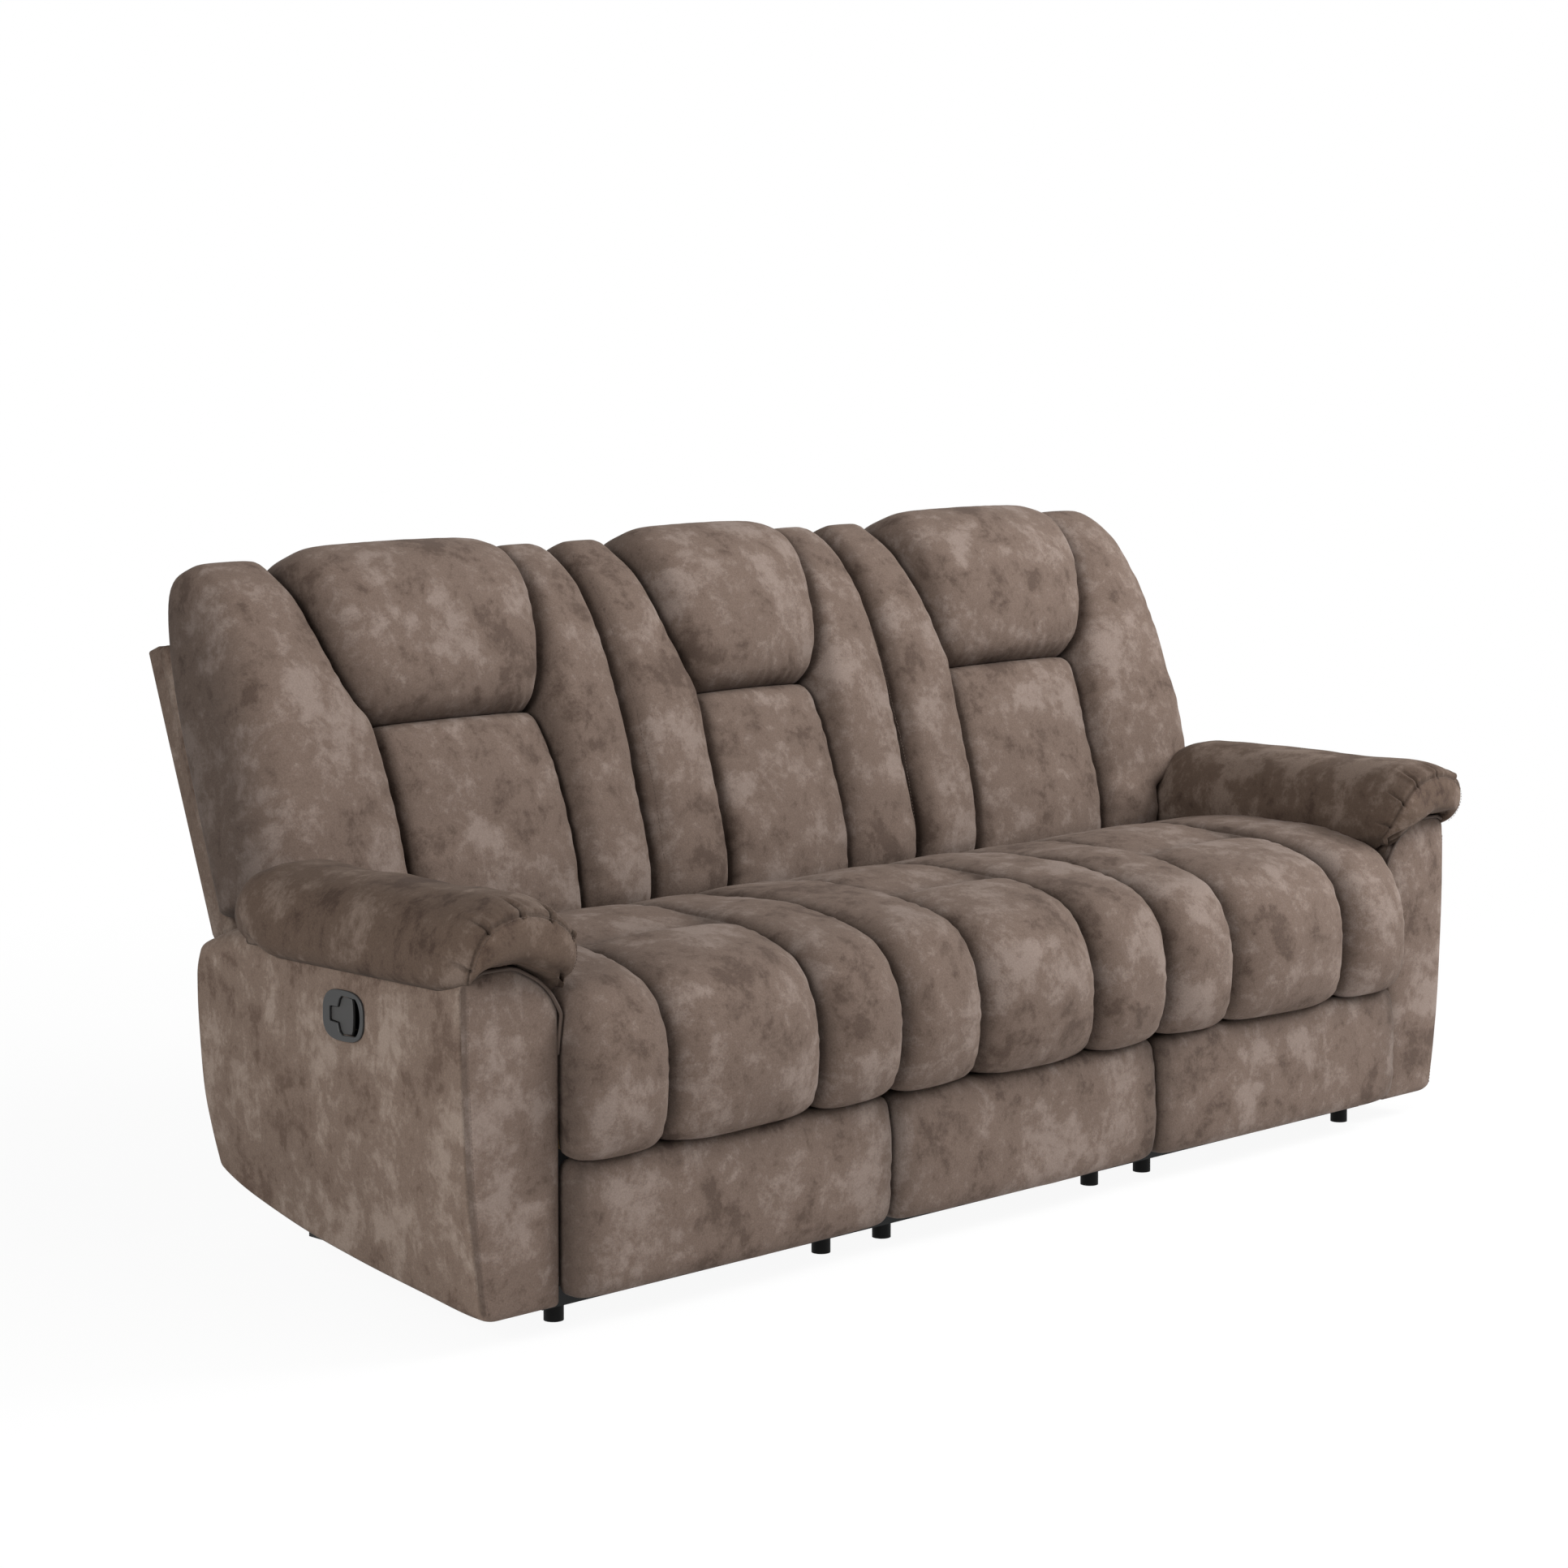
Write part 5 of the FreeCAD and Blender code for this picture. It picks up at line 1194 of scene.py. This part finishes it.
# Half length, half height, depth and wall of the cup
WELL = (39.0, 29.5, 33.0, 2.0)
frame_form = plate((superellipse(*FRAME_HALF, FRAME_POWER), slot_outline(SLOT_GAP)), *FRAME_PLATE)
lever_form = plate((lever_outline(),), *LEVER_PLATE)
well_form = cup(*WELL)
# How far each stands out from the face of the arm, below nought behind it
FRAME_OUT = 0.6
WELL_OUT = -3.5
LEVER_OUT = -3.0
for side, flip in SIDES:
    parts = (("_handle_frame", frame_form, FRAME_OUT, ABS, "root", [side + "_handle_bezel"]),
             ("_handle_well", well_form, WELL_OUT, RECESS_SHADE, "root", []),
             ("_handle_paddle", lever_form, LEVER_OUT, ABS_LEVER, side + "_handle",
              [side + "_handle_lever"]))
    for name, form, out, finish, body, nodes in parts:
        piece = add_piece(side + name, moved(form, HANDLE + (out, 0.0, 0.0)), finish, flip)
        finish_piece(piece, body, nodes)
        flatten(piece)
print("handles at", HANDLE)


# %% [markdown]
# ## Rear covers
# The back of each seat is closed by a flat cover pulled over the timber frame, with a boxing strip sewn
# round its front edge behind the pads. Nothing presses it out, so it is flat with crisp edges.

# %% Rear covers
SHELL_TOP = 601.0
SHELL_LOW = -20.0
# Outer side of an end seat's cover, above the arm and behind it
SHELL_SIDE = 985.0
SHELL_STEP = 907.0
STRIP_WIDER = 5.0
# Front and rear face and edge radius of the flat cover and of the strip, from the hinge line
FLAT_FACES = (-37.0, -67.0)
FLAT_EDGE = 4.5
STRIP_FACES = (-14.0, -38.5)
STRIP_EDGE = 11.0


def shell_slab(x0, x1, step_x, front, rear, top, radius, seed):
    """Form of a slab of the rear cover between two depths. Below the step it reaches only to step_x."""
    half = ((x1 - x0) / 2, (front - rear) / 2, (top - SHELL_LOW) / 2)
    shape, faces = box_grid(half, radius, (50, 3, 74), 4)
    u, v, w = shape.T
    height = SHELL_LOW + (w + 1) * half[2]
    wide = curve((SHELL_LOW, 148, 162, 800), (step_x, step_x, x1, x1))(height)
    x = x0 + (u + 1) / 2 * (wide - x0)
    forward = rear + (v + 1) * half[1]
    spot = np.stack([x, forward, height], -1)
    bulge = 1.5 * ripples(spot, 260.0, seed) + 3.0 * (1 - u ** 4) * (1 - w ** 4)
    forward = forward - np.clip(-v, 0, 1) ** 8 * bulge
    # Painted shade: darker along both sides of the slab
    crease_shade = 0.5 * np.exp(-(1 - np.abs(u)) * half[0] / 6.0)
    return leaned(x, forward, height), faces, crease_shade


def rear_cover(x0, x1, step_x, wider, seed):
    """Flat rear cover and the boxing strip in front of it, which is wider at its outer side."""
    flat = shell_slab(x0, x1, step_x, *FLAT_FACES, SHELL_TOP, FLAT_EDGE, seed)
    strip = shell_slab(x0 + 1.0, x1 + wider, step_x - 1.0, *STRIP_FACES, SHELL_TOP - 4.0, STRIP_EDGE,
                       seed + 1)
    return joined((flat, strip))


middle_shell = rear_cover(*MIDDLE_SPAN, MIDDLE_SPAN[1], -1.0, 601)
finish_piece(add_piece("middle_rear_panel", middle_shell, SUEDE_PANEL), "root", ["middle_rear_cover"])
end_shell = rear_cover(END_SPAN[0], SHELL_SIDE, SHELL_STEP, STRIP_WIDER, 611)
add_pair("rear_panel", end_shell, SUEDE_PANEL, "back", "rear_cover")
print("rear covers of", len(end_shell[1]), "faces")

# %% [markdown]
# ## Stitches and dust cloth
# Top-stitching shows along the seams of the arms. One Geometry Nodes group lays the stitches: it cuts a
# line into even steps and sets a small stretched bead of thread along it at each one. A black dust cloth
# hangs under each seat and black strips line the gaps between the seats, so daylight doesn't shine
# through below the cushions. The dust cloth is a real part of a recliner and the strips are not; both
# hang where the inside of the sofa lies in shade, and their black is painted shade.

# %% Stitch nodes
def stitch_group():
    """Geometry Nodes group that turns lines into rows of stitches. Its sizes are inputs."""
    tree = bpy.data.node_groups.new("Stitch_row", "GeometryNodeTree")
    tree.interface.new_socket("Lines", in_out="INPUT", socket_type="NodeSocketGeometry")
    for label in ("Pitch", "Length", "Thickness"):
        tree.interface.new_socket(label, in_out="INPUT", socket_type="NodeSocketFloat")
    tree.interface.new_socket("Stitches", in_out="OUTPUT", socket_type="NodeSocketGeometry")
    given = add_node(tree, "NodeGroupInput").outputs
    line = add_node(tree, "GeometryNodeMeshToCurve", {}, {"Mesh": given["Lines"]}).outputs[0]
    steps = add_node(tree, "GeometryNodeResampleCurve", {"mode": "LENGTH"},
                     {"Curve": line, "Length": given["Pitch"]}).outputs[0]
    way = add_node(tree, "GeometryNodeInputTangent").outputs[0]
    turn = add_node(tree, "FunctionNodeAlignRotationToVector", {"axis": "Z"}, {"Vector": way}).outputs[0]
    bead = add_node(tree, "GeometryNodeMeshUVSphere", {"Segments": 8, "Rings": 6, "Radius": 0.5})
    size = add_node(tree, "ShaderNodeCombineXYZ", {},
                    {0: given["Thickness"], 1: given["Thickness"], 2: given["Length"]}).outputs[0]
    thread = add_node(tree, "GeometryNodeTransform", {},
                      {"Geometry": bead.outputs["Mesh"], "Scale": size}).outputs[0]
    rows = add_node(tree, "GeometryNodeInstanceOnPoints", {},
                    {"Points": steps, "Instance": thread, "Rotation": turn}).outputs[0]
    solid = add_node(tree, "GeometryNodeRealizeInstances", {}, {"Geometry": rows}).outputs[0]
    sewn = add_node(tree, "GeometryNodeSetMaterial", {"Material": THREAD}, {"Geometry": solid}).outputs[0]
    add_node(tree, "NodeGroupOutput", {}, {"Stitches": sewn})
    return tree


STITCH = stitch_group()


def stitch_rows(name, paths, body, flip=False, pitch=5.5, length=3.9, thickness=0.9):
    """Rows of stitches along lines of points in millimetres, as a plain mesh on its body."""
    points = np.concatenate(paths) * ((-1.0, 1.0, 1.0) if flip else (1.0, 1.0, 1.0))
    pairs = []
    start = 0
    for path in paths:
        pairs += [(start + i, start + i + 1) for i in range(len(path) - 1)]
        start += len(path)
    mesh = bpy.data.meshes.new(name)
    mesh.from_pydata(placed(points).tolist(), pairs, [])
    row = bpy.data.objects.new(name, mesh)
    bpy.context.scene.collection.objects.link(row)
    nodes = row.modifiers.new("Stitch_row", "NODES")
    nodes.node_group = STITCH
    values = {"Pitch": pitch, "Length": length, "Thickness": thickness}
    for item in STITCH.interface.items_tree:
        if item.item_type == "SOCKET" and item.in_out == "INPUT" and item.name in values:
            nodes[item.identifier] = values[item.name] * 0.001
    graph = bpy.context.evaluated_depsgraph_get()
    made = bpy.data.meshes.new_from_object(row.evaluated_get(graph))
    row.modifiers.clear()
    row.data = made
    made.polygons.foreach_set("use_smooth", np.ones(len(made.polygons), bool))
    finish_piece(row, body)
    return len(made.polygons)


# %% Stitch the seams
# Distance of each row from its seam, and how far the thread lies above the cover
FACING_INSET = 6.0
FACING_LIFT = 1.6
CORNER_INSET = 9.0
BOLSTER_INSET = 15.0
BOLSTER_LIFT = 0.6
BOLSTER_ROW = (150.0, 640.0)


def facing_line(offset, lift):
    """A line on the arm pad beside the seam of the facing."""
    s = np.linspace(-0.93, 0.93, 120)
    top, foot = pad_point(s, np.full(120, PAD_SEAM + offset / PAD_RUN))
    way = top - foot
    way[:, 1] -= 30.0
    return top + way / np.linalg.norm(way, axis=1, keepdims=True) * lift


def corner_line(inward):
    """A line down the front panel of the arm, beside its seam with the side panel."""
    z = np.linspace(470.0, 52.0, 90)
    return np.stack([ARM_OUTSIDE(z) - inward, np.full(90, ARM_FRONT - 1.2), z], -1)


def nearest_line(points, x, heights, lift):
    """A smoothed line on the front of a back piece, by its points nearest to x at each height."""
    found = []
    for height in heights:
        target = leaned(x, 150.0, height)
        near = points[np.argsort(np.hypot(points[:, 0] - x, points[:, 2] - target[2]))[:8]]
        found.append(near[near[:, 1].argmin()])
    line = np.array(found)
    width = np.ones(7) / 7
    for axis in (0, 1):
        padded = np.pad(line[:, axis], 3, mode="edge")
        line[:, axis] = np.convolve(padded, width, "valid")
    line[:, 1] -= lift
    return line


heights = np.linspace(*BOLSTER_ROW, 120)
bolster_lines = [nearest_line(left_bolster[0], BOLSTER_INSET - SEAT_HALF, heights, BOLSTER_LIFT)]
bolster_lines.append(bolster_lines[0] * (-1.0, 1.0, 1.0))
print("bolster stitches", stitch_rows("middle_bolster_stitches", bolster_lines, "root"))
arm_lines = [facing_line(FACING_INSET, FACING_LIFT), corner_line(CORNER_INSET)]
for side, flip in SIDES:
    count = stitch_rows(side + "_arm_stitches", arm_lines, "root", flip)
print("stitches of one arm have", count, "faces")

# %% Dust cloth and strips of painted shade
# Distance from the front, height of the middle and half height of a dust cloth, and its ends
DUST_PLACE = 306.0
DUST_MIDDLE = 186.0
DUST_HALF = 110.0
MIDDLE_DUST = (-270.0, 270.0)
END_DUST = (350.0, 866.0)
# Half sizes and middle of a black strip of painted shade in a gap between the seats
SHADE_STRIP_HALF = (1.35, 20.0, 150.0)
SHADE_STRIP_PLACE = (297.9, 45.0, 195.0)


def dust_cloth(x0, x1):
    """Form of a hanging sheet of black non-woven cloth, slightly waved."""
    half = ((x1 - x0) / 2, 1.2, DUST_HALF)
    shape, faces = box_grid(half, 1.0, (60, 2, 30), 2)
    u, v, w = shape.T
    x = (x0 + x1) / 2 + u * half[0]
    y = DUST_PLACE + v * half[1] + 4.0 * np.sin(x / 41.0) * (1 - w) / 2
    return np.stack([x, y, DUST_MIDDLE + w * half[2]], -1), faces


piece = add_piece("middle_dust_cloth", dust_cloth(*MIDDLE_DUST), DUST_CLOTH_AND_SHADE)
finish_piece(piece, "root")
# Painted shade: a black strip stands in each gap between the seats, where the inside lies in shade
shape, faces = box_grid(SHADE_STRIP_HALF, 0.5, (2, 4, 20), 2)
shade_strip = moved((shape * SHADE_STRIP_HALF, faces), SHADE_STRIP_PLACE)
add_pair("gap_shade_strip", shade_strip, DUST_CLOTH_AND_SHADE, "root")
add_pair("dust_cloth", dust_cloth(*END_DUST), DUST_CLOTH_AND_SHADE, "seat")
print("dust cloths and felt hung")
